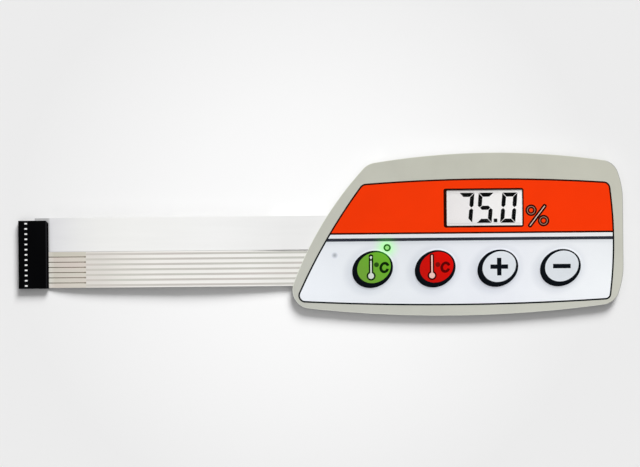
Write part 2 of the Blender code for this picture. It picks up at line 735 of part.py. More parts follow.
def tail_outline(low, high):
    """The panel's outline with a tail strip between two heights that runs into the connector."""
    outline = panel_outline()
    kept = [point for point in outline if not (point[0] < WINDOW_CENTRE[0] and low <= point[1] <= high)]
    root = next(n for n, point in enumerate(kept) if point[0] < WINDOW_CENTRE[0] and point[1] < low
                and kept[n - 1][1] > high)
    stations = tail_stations()
    strip = [(slant_at(outline, high), high), *[(x, high) for x in stations], (FILM_END, high),
             (FILM_END, low), *[(x, low) for x in reversed(stations)], (slant_at(outline, low), low)]
    return kept[:root] + strip + kept[root:]


def slant_at(outline, height):
    """The X of the panel's slanted left side at a height."""
    for n, point in enumerate(outline):
        before = outline[n - 1]
        if before[1] >= height > point[1] and point[0] < WINDOW_CENTRE[0]:
            share = (before[1] - height) / (before[1] - point[1])
            return before[0] + share * (point[0] - before[0])
    raise ValueError("the tail is taller than the panel's side")


def tail_stations():
    """The places along the tail where the film bends, from the panel to the connector."""
    return [TAIL_START - TAIL_LENGTH * n / TAIL_STATIONS for n in range(TAIL_STATIONS + 1)]


def film_slits(numbers):
    """The slits that the crimped clips of these positions pass through."""
    slits = []
    for n in numbers:
        for side in (-1, 1):
            place_y = position_height(n) + side * (CRIMP_WIDTH - STRIP_THICKNESS) / 2
            slits.append(block((CRIMP_REAR - CRIMP_LENGTH / 2, place_y),
                               CRIMP_LENGTH + 2 * SLIT_CLEARANCE, STRIP_THICKNESS + 2 * SLIT_CLEARANCE))
    return slits


def circuits():
    """The two printed circuit films, each with its own half of the tail."""
    film = finish("circuit_film", FILM_WHITE, 0.4)
    trace = finish("circuit_trace", TRACE_GREY, 0.45)
    finger = finish("circuit_finger", FINGER_BEIGE, 0.5)
    top = position_height(0) + TAIL_TOP_MARGIN
    base = position_height(POSITIONS - 1) - TAIL_BASE_MARGIN
    upper_base, lower_top = TAIL_SPLIT_HEIGHT + TAIL_SPLIT / 2, TAIL_SPLIT_HEIGHT - TAIL_SPLIT / 2
    opening = cell_opening()
    sheet("upper_circuit", tail_outline(upper_base, top), LAYER["upper_circuit"], CIRCUIT_THICKNESS, film,
          holes=[opening, *film_slits(range(UPPER_POSITIONS))],
          seams=[((x, upper_base), (x, top)) for x in tail_stations()],
          relief=tail_arch(LAYER["upper_circuit"]))
    finger_end = HOUSING_REAR + FINGER_LENGTH
    trace_end = TAIL_START + TRACE_RUN_IN
    zones = []
    for n in range(UPPER_POSITIONS, POSITIONS):
        y = position_height(n)
        zones.append((oblong(finger_end, y - TRACE_WIDTH / 2, trace_end, y + TRACE_WIDTH / 2), trace))
        middle = ((HOUSING_REAR + finger_end) / 2, y)
        zones.append((block(middle, FINGER_LENGTH, PITCH - FINGER_GAP), finger))
    sheet("lower_circuit", tail_outline(base, lower_top), LAYER["lower_circuit"], CIRCUIT_THICKNESS, film,
          holes=[opening, *film_slits(range(UPPER_POSITIONS, POSITIONS))], zones=zones,
          seams=[((x, base), (x, lower_top)) for x in tail_stations()],
          relief=tail_arch(LAYER["lower_circuit"]))


def snap_domes():
    """The four stainless snap domes, shallow caps that stand on the upper circuit."""
    steel = finish("dome_steel", STEEL, 0.3, 1.0)
    floor = LAYER["upper_circuit"] + CIRCUIT_THICKNESS + BOND_LINE
    radius = DOME_DIAMETER / 2
    for number, centre in enumerate(key_centres()):
        rings = []
        for n in range(DOME_RINGS):
            share = 1 - n / DOME_RINGS
            rings.append((radius * share, floor + DOME_HEIGHT * (1 - share * share)))
        crown = floor + DOME_HEIGHT
        mesh = bmesh.new()
        shells = []
        for lift in (0.0, DOME_THICKNESS):
            loops = []
            for reach, z in rings:
                points = oval(centre, 2 * reach, 2 * reach, steps=DOME_STEPS)
                loops.append([mesh.verts.new((x, y, z + lift)) for x, y in points])
            tip = mesh.verts.new((centre[0], centre[1], crown + lift))
            for outer, inner in zip(loops, loops[1:]):
                join_rings(mesh, outer, inner)
            for n in range(DOME_STEPS):
                mesh.faces.new((loops[-1][n - 1], loops[-1][n], tip))
            shells.append(loops[0])
        join_rings(mesh, shells[0], shells[1])
        bmesh.ops.recalc_face_normals(mesh, faces=mesh.faces)
        dome = place(f"snap_dome_{number + 1}", mesh, [steel])
        smooth(dome)


def join_rings(mesh, first, second):
    """Closes the band between two rings that have as many points."""
    for n in range(len(first)):
        mesh.faces.new((first[n - 1], first[n], second[n], second[n - 1]))


def smooth(thing, angle=math.radians(35)):
    """Shades round faces smooth and keeps real edges sharp."""
    thing.data.shade_smooth()
    thing.data.set_sharp_from_angle(angle=angle)


def lamps():
    """The two surface-mount lamps: a base with a narrower lens on it."""
    floor = LAYER["upper_circuit"] + CIRCUIT_THICKNESS + BOND_LINE
    tints = (finish("lamp_green", LAMP_LIT, 0.2), finish("lamp_unlit", SIGN_PALE, 0.25))
    for name, centre, tint in zip(("status_led", "spare_led"), lamp_centres(), tints):
        mesh = bmesh.new()
        base = block(centre, LAMP_LENGTH, LAMP_WIDTH)
        lens = block(centre, LAMP_LENS_LENGTH, LAMP_WIDTH)
        stations = [base[0][0], lens[0][0], lens[1][0], base[1][0]]
        low, high = base[0][1], base[2][1]
        levels = (floor, floor + LAMP_BASE_HEIGHT)
        grid = [[[mesh.verts.new((x, y, z)) for z in levels] for y in (low, high)] for x in stations]
        for left, right in zip(grid, grid[1:]):
            mesh.faces.new((left[0][1], right[0][1], right[1][1], left[1][1]))
            mesh.faces.new((left[0][0], left[1][0], right[1][0], right[0][0]))
            mesh.faces.new((left[0][0], right[0][0], right[0][1], left[0][1]))
            mesh.faces.new((left[1][0], left[1][1], right[1][1], right[1][0]))
        for end in (grid[0], grid[-1]):
            mesh.faces.new((end[0][0], end[0][1], end[1][1], end[1][0]))
        bmesh.ops.recalc_face_normals(mesh, faces=mesh.faces)
        mesh.normal_update()
        seat = facing(mesh, 2, 1, (stations[1], low, levels[1]), (stations[2], high, levels[1]))
        extruded(mesh, seat, (0, 0, LAMP_LENS_HEIGHT))
        place(name, mesh, [tint])


# Connector

def prism(loop, low, high, lip=None):
    """A closed prism over a loop, or a taper whose top has its own loop: its points and its faces."""
    top = lip or loop
    points = [(x, y, low) for x, y in loop] + [(x, y, high) for x, y in top]
    count = len(loop)
    faces = [tuple(range(count))[::-1], tuple(range(count, 2 * count))]
    faces += [(n, (n + 1) % count, count + (n + 1) % count, count + n) for n in range(count)]
    return points, faces


def cutter(name, prisms):
    """A hidden object made of closed prisms, for a Boolean to cut with."""
    mesh = bmesh.new()
    for points, faces in prisms:
        verts = [mesh.verts.new(point) for point in points]
        for face in faces:
            mesh.faces.new([verts[n] for n in face])
    bmesh.ops.recalc_face_normals(mesh, faces=mesh.faces)
    tool = place(name, mesh, [])
    tool.hide_render = True
    tool.display_type = "WIRE"
    return tool


def subtract(thing, tool):
    """Cuts a hidden object out of a piece."""
    cut = thing.modifiers.new(tool.name, "BOOLEAN")
    cut.operation = "DIFFERENCE"
    cut.solver = "EXACT"
    cut.object = tool


def connector_housing():
    """The moulded housing: pin entries in front, cavities, windows in its roof and a film slot behind."""
    half = (POSITIONS - 1) / 2 * PITCH + HOUSING_END_WALL
    low, high = TAIL_CENTRE_HEIGHT - half, TAIL_CENTRE_HEIGHT + half
    plan = [(HOUSING_FRONT, low), (HOUSING_REAR, low), (HOUSING_REAR, high - HOUSING_CHAMFER),
            (HOUSING_REAR - HOUSING_CHAMFER, high), (HOUSING_FRONT, high)]
    mesh = bmesh.new()
    points, faces = prism(plan, 0.0, HOUSING_HEIGHT)
    verts = [mesh.verts.new(point) for point in points]
    for face in faces:
        mesh.faces.new([verts[n] for n in face])
    bmesh.ops.recalc_face_normals(mesh, faces=mesh.faces)
    housing = place("connector_housing", mesh, [finish("housing", HOUSING_BLACK, 0.45)])
    slot_front = FILM_END - SLOT_LEAD
    cavity_front = HOUSING_FRONT + FRONT_WALL
    roof = HOUSING_HEIGHT + CUT_OVERRUN
    cavities, entries, windows = [], [], []
    for n in range(POSITIONS):
        y = position_height(n)
        middle = CONTACT_FLOOR + (CAVITY_HEIGHT - 2 * CONTACT_CLEARANCE) / 2
        cavities.append(prism(oblong(cavity_front, y - CAVITY_WIDTH / 2, slot_front + SLOT_LEAD / 2,
                                     y + CAVITY_WIDTH / 2), HOUSING_FLOOR, HOUSING_FLOOR + CAVITY_HEIGHT))
        entries.append(pin_entry(y, middle, cavity_front))
        window_x = HOUSING_FRONT + WINDOW_SLOT_PLACE
        windows.append(prism(block((window_x, y), WINDOW_SLOT_LENGTH, WINDOW_SLOT_WIDTH),
                             HOUSING_FLOOR + CAVITY_HEIGHT / 2, roof))
    slot = prism(oblong(slot_front, low - CUT_OVERRUN, HOUSING_REAR + CUT_OVERRUN, high + CUT_OVERRUN),
                 HOUSING_FLOOR, HOUSING_FLOOR + SLOT_HEIGHT)
    step = prism(oblong(HOUSING_REAR - HOUSING_STEP_LENGTH, low - CUT_OVERRUN, HOUSING_REAR + CUT_OVERRUN,
                        high + CUT_OVERRUN), HOUSING_HEIGHT - HOUSING_STEP_DROP, roof)
    for name, shapes in (("cavities", cavities), ("entries", entries), ("windows", windows),
                         ("film_slot", [slot]), ("rear_step", [step])):
        subtract(housing, cutter(name, shapes))


def pin_entry(y, middle, cavity_front):
    """A square hole through the front wall, with a tapered lead-in at the mating face."""
    front = HOUSING_FRONT - CUT_OVERRUN
    mouth = PIN_LEAD_IN / 2 + CUT_OVERRUN * (PIN_LEAD_IN - PIN_ENTRY) / 2 / LEAD_IN_DEPTH
    stations = ((front, mouth), (HOUSING_FRONT + LEAD_IN_DEPTH, PIN_ENTRY / 2),
                (cavity_front + LEAD_IN_DEPTH, PIN_ENTRY / 2))
    points = []
    for x, half in stations:
        points += [(x, y - half, middle - half), (x, y + half, middle - half),
                   (x, y + half, middle + half), (x, y - half, middle + half)]
    faces = [(3, 2, 1, 0), (8, 9, 10, 11)]
    for first in (0, 4):
        for n, m in ((0, 1), (1, 2), (2, 3), (3, 0)):
            faces.append((first + n, first + m, first + 4 + m, first + 4 + n))
    return points, faces


def contact_mesh():
    """One contact at Y = 0, folded from strip: floor, box, spring and crimped clip."""
    t = STRIP_THICKNESS
    box_half = CAVITY_WIDTH / 2 - CONTACT_CLEARANCE
    clip_half = CRIMP_WIDTH / 2
    front = HOUSING_FRONT + FRONT_WALL + CONTACT_CLEARANCE
    box_rear = FILM_END - BOX_SETBACK
    mesh = bmesh.new()
    stations = ((front, box_half), (box_rear, box_half), (box_rear + t, clip_half),
                (CRIMP_FRONT, clip_half), (CRIMP_REAR, clip_half), (HOUSING_REAR - t, clip_half))
    rows = []
    for x, half in stations:
        sides = (-half, -half + t, -SPRING_WIDTH / 2, SPRING_WIDTH / 2, half - t, half)
        levels = (CONTACT_FLOOR, CONTACT_FLOOR + t)
        rows.append([[mesh.verts.new((x, y, z)) for y in sides] for z in levels])
    for left, right in zip(rows, rows[1:]):
        for n in range(5):
            mesh.faces.new((left[1][n], right[1][n], right[1][n + 1], left[1][n + 1]))
            mesh.faces.new((left[0][n], left[0][n + 1], right[0][n + 1], right[0][n]))
        mesh.faces.new((left[0][0], right[0][0], right[1][0], left[1][0]))
        mesh.faces.new((left[0][5], left[1][5], right[1][5], right[0][5]))
    for end in (rows[0], rows[-1]):
        for n in range(5):
            mesh.faces.new((end[0][n], end[0][n + 1], end[1][n + 1], end[1][n]))
    bmesh.ops.recalc_face_normals(mesh, faces=mesh.faces)
    box_height = CAVITY_HEIGHT - 2 * CONTACT_CLEARANCE - 2 * t
    fold_walls(mesh, (front, box_rear), box_half, box_height, 2 * (box_half - t) - SEAM_GAP, one_sided=True)
    clip_height = FILM_SEAT + CIRCUIT_THICKNESS + FILM_SEAT
    fold_walls(mesh, (CRIMP_FRONT, CRIMP_REAR), clip_half, clip_height, CRIMP_LIP, one_sided=False)
    raise_spring(mesh, front, box_rear)
    return mesh


def facing(mesh, axis, sign, low, high):
    """The faces that point along an axis, with their middles between two corners."""
    chosen = []
    for face in mesh.faces:
        middle = face.calc_center_median()
        inside = all(low[k] - 1e-6 <= middle[k] <= high[k] + 1e-6 for k in range(3))
        if inside and face.normal[axis] * sign > 0.9:
            chosen.append(face)
    return chosen


def fold_walls(mesh, reach, half, height, lip, one_sided):
    """Folds a wall up from each edge of the floor and a lip inwards from the top of each wall."""
    t = STRIP_THICKNESS
    top = CONTACT_FLOOR + t
    for side in (-1, 1):
        edge = sorted((side * half, side * (half - t)))
        seat = facing(mesh, 2, 1, (reach[0], edge[0], top), (reach[1], edge[1], top))
        for rise in (height, t):
            seat = extruded(mesh, seat, (0, 0, rise))
        if side < 0 or not one_sided:
            inner = facing(mesh, 1, -side, (reach[0], edge[0], top + height),
                           (reach[1], edge[1], top + height + t))
            extruded(mesh, inner, (0, -side * lip, 0))


def extruded(mesh, faces, shift):
    """Extrudes faces as one region and returns the faces at the far end."""
    made = bmesh.ops.extrude_face_region(mesh, geom=faces)["geom"]
    bmesh.ops.delete(mesh, geom=faces, context="FACES")
    points = [item for item in made if isinstance(item, bmesh.types.BMVert)]
    bmesh.ops.translate(mesh, vec=shift, verts=points)
    mesh.normal_update()
    return [item for item in made if isinstance(item, bmesh.types.BMFace)]


def raise_spring(mesh, front, rear):
    """Raises the contact spring, a leaf that rises from the box's floor and comes down again."""
    top = CONTACT_FLOOR + STRIP_THICKNESS
    half = SPRING_WIDTH / 2
    cut = front + SPRING_TAKE_OFF
    for x in (cut, cut + STRIP_THICKNESS * 2):
        seat = facing(mesh, 2, 1, (front, -half, top), (rear, half, top))
        edges = {edge for face in seat for edge in face.edges}
        bmesh.ops.bisect_plane(mesh, geom=[*seat, *edges], plane_co=(x, 0, 0), plane_no=(1, 0, 0))
    mesh.normal_update()
    seat = facing(mesh, 2, 1, (cut, -half, top), (cut + STRIP_THICKNESS * 2, half, top))
    length = rear - front
    for run, rise in ((length * 0.25, SPRING_RISE * 0.7), (length * 0.25, SPRING_RISE * 0.3),
                      (length * 0.25, -SPRING_RISE * 0.5)):
        seat = extruded(mesh, seat, (run, 0, rise))


def contacts():
    """One contact for each connector position."""
    tin = finish("contact_tin", TIN, 0.2, 1.0)
    for n in range(POSITIONS):
        mesh = contact_mesh()
        bmesh.ops.translate(mesh, vec=(0, position_height(n), 0), verts=mesh.verts)
        place(f"contact_{n + 1:02d}", mesh, [tin])


def main():
    """Clears the scene and builds the keypad."""
    for thing in list(bpy.data.objects):
        bpy.data.objects.remove(thing)
    smooth(graphic_overlay())
    laminate_layers()
    circuits()
    snap_domes()
    lamps()
    display_cell()
    connector_housing()
    contacts()


main()
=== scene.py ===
"""Looks of a membrane keypad that lies on a pale floor: its printed and embossed overlay, the display
behind the window, the film tail with its printed tracks, and the crimp connector.

Sizes are in millimetres, and are turned into metres where a mesh or a texture is made. The outlines are
worked out as the solids' outlines are, in finer steps.
"""

import math

import bmesh
import bpy
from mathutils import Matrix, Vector
from mathutils.geometry import delaunay_2d_cdt


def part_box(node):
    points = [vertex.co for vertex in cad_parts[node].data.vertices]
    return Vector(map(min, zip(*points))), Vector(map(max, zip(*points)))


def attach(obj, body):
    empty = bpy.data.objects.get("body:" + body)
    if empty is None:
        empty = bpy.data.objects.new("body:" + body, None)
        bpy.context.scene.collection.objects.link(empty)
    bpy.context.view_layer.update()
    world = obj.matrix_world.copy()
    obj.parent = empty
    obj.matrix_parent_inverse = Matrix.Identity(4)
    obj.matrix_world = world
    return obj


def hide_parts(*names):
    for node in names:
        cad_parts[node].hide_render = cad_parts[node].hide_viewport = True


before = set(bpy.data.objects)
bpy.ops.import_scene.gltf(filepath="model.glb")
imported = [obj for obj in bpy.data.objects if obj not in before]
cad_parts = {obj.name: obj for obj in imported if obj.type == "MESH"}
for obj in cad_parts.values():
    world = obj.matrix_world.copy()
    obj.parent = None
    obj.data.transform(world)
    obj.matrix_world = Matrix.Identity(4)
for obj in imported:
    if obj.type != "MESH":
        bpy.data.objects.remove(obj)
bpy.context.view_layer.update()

MM = 0.001
BODY = "root"

# Limits of a mesh: points closer than these are one, SAME_PLACE in metres and SAME_POINT in millimetres
SAME_PLACE = 1e-7
SAME_POINT = 1e-5
SMOOTH_BELOW = math.radians(35)
FLAT_BELOW = math.radians(1)
HOUSING_CORNER = math.radians(30)

# Outline of the panel, between the corners where its bowed sides would meet
BASE_LENGTH = 161.15
TOP_LENGTH = 120.65
PANEL_HEIGHT = 69.08
BASE_BOW = 5.46
TOP_BOW = 5.01
SLANT_BOW = 4.75
RIGHT_BULGE = 4.05
RIGHT_FLAT = 44.4
PANEL_RADII = (9.3, 8.6, 40.0, 40.0, 9.2, 9.3)
BOW_STEPS = 40
CORNER_STEP = math.radians(4)

# Films
OVERLAY_THICKNESS = 0.25
CIRCUIT_THICKNESS = 0.175
INK_THICKNESS = 0.015
CUT_EDGE = 0.22
# Painted shade on the overlay film's cut edge along the right side, from this far right of the window's
# centre
SHADED_EDGE_PLACE = 58.0
SHADED_EDGE_FADE = 3.0
BOND = 0.02

# Printed fields
FIELD_TOP_MARGIN = 10.2
FIELD_BASE_MARGIN = 2.12
FIELD_RIGHT_MARGIN = 2.72
FIELD_SLANT_MARGIN_AT_TOP = 3.38
FIELD_SLANT_MARGIN_AT_BASE = 3.6
FIELD_BOWS = (2.25, 2.02, 2.23, 1.94)
FIELD_RADII = (3.05, 2.5, 2.9, 3.35)
KEYLINE_WIDTH = 0.8
SPLIT_DROP = 3.5
SPLIT_LINE_WIDTH = 0.85
BAND_DROP = 3.03
BAND_WIDTH = 1.5

# Display
WINDOW_LENGTH = 36.98
WINDOW_HEIGHT = 17.35
WINDOW_RIGHT_MARGIN = 45.15
WINDOW_TOP_MARGIN = 13.29
WINDOW_RADIUS = 0.5
FRAME_SIDES = (1.57, 0.95, 0.65, 0.85)
GLASS_MARGIN = 2.3
GLASS_LEDGE = 2.4
CELL_CLEARANCE = 0.4
GROUND_SPARE = 0.3
GROUND_RIM = 0.8
GROUND_THICKNESS = 0.015
BAR_THICKNESS = 0.012
DIGIT_WIDTH = 7.4
DIGIT_HEIGHT = 14.74
DIGIT_STROKE = 1.96
DIGIT_GAP = 0.2
DIGIT_SLANT = 0.084
DIGIT_PLACES = ((-9.21, -0.02), (0.32, -0.02), (11.86, -0.04))
DIGIT_SEGMENTS = ("abc", "afgcd", "abcdef")
POINT_PLACE = (5.33, -6.27)
POINT_SIZE = 1.75

# Percent sign beside the window, from the panel's own origin
PERCENT_RINGS = ((37.66, 11.14), (43.72, 5.99))
PERCENT_RADII = (2.82, 2.02, 1.68, 0.98)
PERCENT_SLASH = ((37.1, 3.7), (44.28, 13.08))
PERCENT_SLASH_WIDTHS = (2.15, 0.4)

# Keys
KEY_COUNT = 4
KEY_LEFT_MARGIN = 42.42
KEY_RIGHT_MARGIN = 26.82
KEY_BASE_MARGIN = 17.46
KEY_LENGTH = 20.57
KEY_WIDTH = 17.7
KEY_TILT = math.radians(26.7)
FACE_TILT = math.radians(27.5)
FACE_LENGTH = 16.9
FACE_WIDTH = 14.5
FACE_SHIFT = (0.7, 0.78)
OVAL_STEPS = 96
EMBOSS_HEIGHT = 0.5
EMBOSS_TOP_SCALE = 0.88
EMBOSS_FOOT_SCALE = 1.12
EMBOSS_RINGS = 11
SHADE_SHIFT = (-0.9, -0.5)
SHADE_SPAN = (0.98, 1.5)
SHADE_TONE = (238, 239, 241)
SHEEN_HEADING = (0.8, 0.6)

# Signs on the keys, from each key's centre
STEM_PLACES = (-0.76, -1.56)
BULB_DROP = 3.25
BULB_RADIUS = 2.22
STEM_TOP = 7.42
STEM_HALF_WIDTH = 1.1
CORE_BULB_RADIUS = 1.42
CORE_HALF_WIDTH = 0.36
CORE_TOPS = (4.23, 6.78)
DROP_PLACE = 5.93
DROP_RADIUS = 0.56
DROP_TIP = 4.83
DEGREE_PLACES = ((1.93, 2.23), (1.3, 2.06))
DEGREE_RADIUS = 1.2
LETTER_PLACES = ((5.82, 0.85), (5.03, 0.74))
LETTER_WIDTH = 4.95
LETTER_HEIGHT = 5.55
LETTER_STROKE = 1.32
LETTER_OPENING = (math.radians(23), math.radians(342))
LETTER_LEAN = 0.1
SIGN_LENGTH = 8.65
SIGN_STROKE = 2.15
SIGN_PLACE = (0.68, 0.76)

# Lamps, from the first key's centre
LAMP_PLACE = (7.22, 10.5)
SPARE_LAMP_PLACE = (-18.47, 7.03)
LAMP_RING_RADIUS = 1.8
LAMP_RING_WIDTH = 0.8
SPARE_SPOT_RADIUS = 1.7
# The painted glow round the lit lamp, in the inks' colour and emission
GLOW_CORE = 1.9
GLOW_REACH = 8.5
GLOW_SHIFT = -0.5
GLOW_FALL = 2.2

# Tail and connector
POSITIONS = 13
UPPER_POSITIONS = 6
PITCH = 2.54
TAIL_CENTRE_HEIGHT = -8.42
TAIL_TOP_MARGIN = 2.6
TAIL_BASE_MARGIN = 1.15
TAIL_SPLIT = 0.1
TAIL_LENGTH = 115.2
TAIL_RISE = 2.1
TAIL_ROUNDNESS = 1.25
TAIL_SPRING = 5.0
TAIL_MERGE = 0.2
TAIL_STATIONS = 48
TAIL_CLEAR_OF_PANEL = 1.0
FILM_INSERTION = 6.8
CRIMP_END_MARGIN = 2.0
CRIMP_LENGTH = 1.6
CRIMP_WIDTH = 1.6
STRIP_THICKNESS = 0.2
SLIT_CLEARANCE = 0.12
TRACE_WIDTH = 1.0
TRACE_RUN_IN = 24.0
TRACE_THICKNESS = 0.012
FINGER_LENGTH = 18.3
FINGER_WIDTH = 2.14
FINGER_RUN_IN = 2.4
FINGER_THICKNESS = 0.02
# Painted slit shade between the fingers: its lines and wider ends
SLIT_LINE_WIDTH = 0.42
SLIT_END_WIDTH = 0.6
SLIT_END_LENGTH = 0.8
HOUSING_EDGE = 0.07
# A painted highlight along the ridge by the housing's rear edge
RIDGE_PLACE = 1.0
RIDGE_WIDTH = 0.7
# A painted highlight on each contact's flat under its window, with painted shade round it
SPOT_PLACE = 11.06
SPOT_LENGTH = 1.22
SPOT_WIDTH = 0.66
SPOT_FADE = 0.08

# Studio: the camera looks straight down, and one broad soft light comes from beyond the panel
CAMERA_AIM = (-65.74, 0.693, 4.0)
CAMERA_DISTANCE = 1200.0
CAMERA_TURN = math.radians(-0.53)
FRAME_WIDTH = 313.15
SENSOR_WIDTH = 36.0
SUN_FROM = (0.33, 1.0, 0.69)
SUN_SPREAD = math.radians(27)
SUN_SHARE = 0.64
OVERHEAD_SHARE = 0.26
OVERHEAD_SPREAD = math.radians(120)
BACKDROP_LEVEL = 0.84
FLOOR_RADIUS = 3000.0
# The floor's painted pool of light round the object, and painted shade just beyond the panel's and the
# tail's edges that face the light
FLOOR_CENTRE = (-70.6, 2.4)
FLOOR_BRIGHT_REACH = 144.0
FLOOR_SHADE_EDGES = ((-202.0, -84.0, 9.4, 248), (-38.0, 76.0, 37.5, 251))
FLOOR_SHADE_REACH = 9.0


# Outlines, all counter-clockwise

def side_point(start, end, bow, share):
    """A point part of the way along a side that stands out by bow in its middle."""
    run, rise = end[0] - start[0], end[1] - start[1]
    stand = 4 * bow * share * (1 - share) / math.hypot(run, rise)
    return start[0] + run * share + rise * stand, start[1] + rise * share - run * stand


def side_heading(start, end, bow, share):
    """The direction of travel at the start or the end of a bowed side."""
    run, rise = end[0] - start[0], end[1] - start[1]
    lean = math.atan2(4 * bow, math.hypot(run, rise))
    return math.atan2(rise, run) + lean * (2 * share - 1)


def rounded(corners, bows, radii):
    """An outline through corners with a bowed side after each corner and a fillet at each."""
    count = len(corners)
    sides = [(corners[n], corners[(n + 1) % count], bows[n]) for n in range(count)]
    turns = []
    for n in range(count):
        turn = side_heading(*sides[n], 0) - side_heading(*sides[n - 1], 1)
        turns.append(math.remainder(turn, math.tau))
    trims = [radii[n] * math.tan(turns[n] / 2) for n in range(count)]
    points = []
    for n, (start, end, bow) in enumerate(sides):
        after = (n + 1) % count
        length = math.dist(start, end)
        first, last = trims[n] / length, 1 - trims[after] / length
        steps = BOW_STEPS if bow else 1
        run = [side_point(start, end, bow, first + (last - first) * k / steps) for k in range(steps + 1)]
        points += run
        leave = side_point(*sides[after], trims[after] / math.dist(*sides[after][:2]))
        points += fillet(run[-1], side_heading(start, end, bow, 1), leave, turns[after])
    return points


def fillet(start, heading, end, turn):
    """The points between start and end on the curve that turns from one heading by turn."""
    reach = math.dist(start, end) / (2 * math.sin(turn / 2)) * 4 / 3 * math.tan(turn / 4)
    first = (start[0] + reach * math.cos(heading), start[1] + reach * math.sin(heading))
    last = (end[0] - reach * math.cos(heading + turn), end[1] - reach * math.sin(heading + turn))
    steps = max(2, round(turn / CORNER_STEP))
    points = []
    for k in range(1, steps):
        t = k / steps
        weights = ((1 - t) ** 3, 3 * t * (1 - t) ** 2, 3 * t * t * (1 - t), t ** 3)
        corners = (start, first, last, end)
        points.append(tuple(sum(w * c[axis] for w, c in zip(weights, corners)) for axis in (0, 1)))
    return points


def inset(loop, distance):
    """A smooth loop moved inwards."""
    count = len(loop)
    shifted = []
    for n, (x, y) in enumerate(loop):
        before, after = loop[n - 1], loop[(n + 1) % count]
        heading = math.atan2(after[1] - before[1], after[0] - before[0])
        shifted.append((x - distance * math.sin(heading), y + distance * math.cos(heading)))
    return shifted


def clipped(loop, low, high):
    """The part of a convex loop whose height lies between low and high."""
    for level, keep in ((low, 1), (high, -1)):
        kept = []
        for n, point in enumerate(loop):
            before = loop[n - 1]
            gap_before, gap = keep * (before[1] - level), keep * (point[1] - level)
            if (gap_before < 0) != (gap < 0):
                share = gap_before / (gap_before - gap)
                kept.append((before[0] + share * (point[0] - before[0]), level))
            if gap >= 0:
                kept.append(point)
        loop = kept
    return loop


def oval(centre, length, width, tilt=0.0, steps=OVAL_STEPS):
    """A tilted ellipse."""
    points = []
    for n in range(steps):
        angle = math.tau * n / steps
        u, v = length / 2 * math.cos(angle), width / 2 * math.sin(angle)
        points.append((centre[0] + u * math.cos(tilt) - v * math.sin(tilt),
                       centre[1] + u * math.sin(tilt) + v * math.cos(tilt)))
    return points


def disc(centre, radius, steps=40):
    """A round spot."""
    return oval(centre, 2 * radius, 2 * radius, steps=steps)


def oblong(left, base, right, top):
    """An upright rectangle."""
    return [(left, base), (right, base), (right, top), (left, top)]


def block(centre, length, height):
    """An upright rectangle about its centre."""
    (x, y), dx, dy = centre, length / 2, height / 2
    return oblong(x - dx, y - dy, x + dx, y + dy)


def capsule(start, end, width, steps=10):
    """A bar with round ends."""
    heading = math.atan2(end[1] - start[1], end[0] - start[0])
    points = []
    for middle, first in ((end, heading - math.pi / 2), (start, heading + math.pi / 2)):
        for n in range(steps + 1):
            angle = first + math.pi * n / steps
            points.append((middle[0] + width / 2 * math.cos(angle), middle[1] + width / 2 * math.sin(angle)))
    return points


def bulb_and_stem(bulb, top, stem, radius):
    """The outline of a stem with a round top that stands on a round bulb."""
    half_mouth = math.asin(stem / radius)
    steps, cap_steps = 36, 12
    points = []
    for n in range(steps + 1):
        angle = math.pi / 2 + half_mouth + (math.tau - 2 * half_mouth) * n / steps
        points.append((bulb[0] + radius * math.cos(angle), bulb[1] + radius * math.sin(angle)))
    for n in range(cap_steps + 1):
        angle = math.pi * n / cap_steps
        points.append((bulb[0] + stem * math.cos(angle), top - stem + stem * math.sin(angle)))
    return points


def droplet(centre, radius, tip, steps=16):
    """A drop with a round top and a point at the height tip."""
    lean = math.acos(radius / (centre[1] - tip))
    first = -math.pi / 2 + lean
    points = []
    for n in range(steps + 1):
        angle = first + (math.tau - 2 * lean) * n / steps
        points.append((centre[0] + radius * math.cos(angle), centre[1] + radius * math.sin(angle)))
    return [*points, (centre[0], tip)]


def letter_c(centre, steps=28):
    """An open letter made of one bent stroke."""
    first, last = LETTER_OPENING
    points = []
    for shrink, order in ((0.0, range(steps + 1)), (LETTER_STROKE, range(steps, -1, -1))):
        for n in order:
            angle = first + (last - first) * n / steps
            x = (LETTER_WIDTH / 2 - shrink) * math.cos(angle)
            y = (LETTER_HEIGHT / 2 - shrink) * math.sin(angle)
            points.append((centre[0] + x + LETTER_LEAN * y, centre[1] + y))
    return points


def segment(name, centre):
    """One bar of a seven-bar digit, a at the top and on clockwise to f, with g in the middle."""
    w, h, t, g = DIGIT_WIDTH / 2, DIGIT_HEIGHT / 2, DIGIT_STROKE, DIGIT_GAP
    top = [(-w + g, h), (-w + t + g, h - t), (w - t - g, h - t), (w - g, h)]
    upper = [(w - t / 2, g), (w, t / 2), (w, h - g), (w - t, h - t - g), (w - t, t / 2 + g)]
    middle = [(-w + t / 2 + g, 0), (-w + t + g, -t / 2), (w - t - g, -t / 2),
              (w - t / 2 - g, 0), (w - t - g, t / 2), (-w + t + g, t / 2)]
    shape = {"a": top, "d": top, "g": middle}.get(name, upper)
    flip_x = -1 if name in "ef" else 1
    flip_y = -1 if name in "cde" else 1
    placed = [(centre[0] + flip_x * x + DIGIT_SLANT * flip_y * y, centre[1] + flip_y * y) for x, y in shape]
    return placed[::-1] if flip_x * flip_y < 0 else placed


def moved(point, shift):
    """A point shifted by a pair."""
    return point[0] + shift[0], point[1] + shift[1]


# Places that several pieces share

def panel_corners():
    """The panel's corners from the lower left, counter-clockwise."""
    right = (BASE_LENGTH + RIGHT_BULGE) / 2
    corner = right - RIGHT_BULGE
    half = PANEL_HEIGHT / 2
    return [(corner - BASE_LENGTH, -half), (corner, -half), (right, -RIGHT_FLAT / 2),
            (right, RIGHT_FLAT / 2), (corner, half), (corner - TOP_LENGTH, half)]


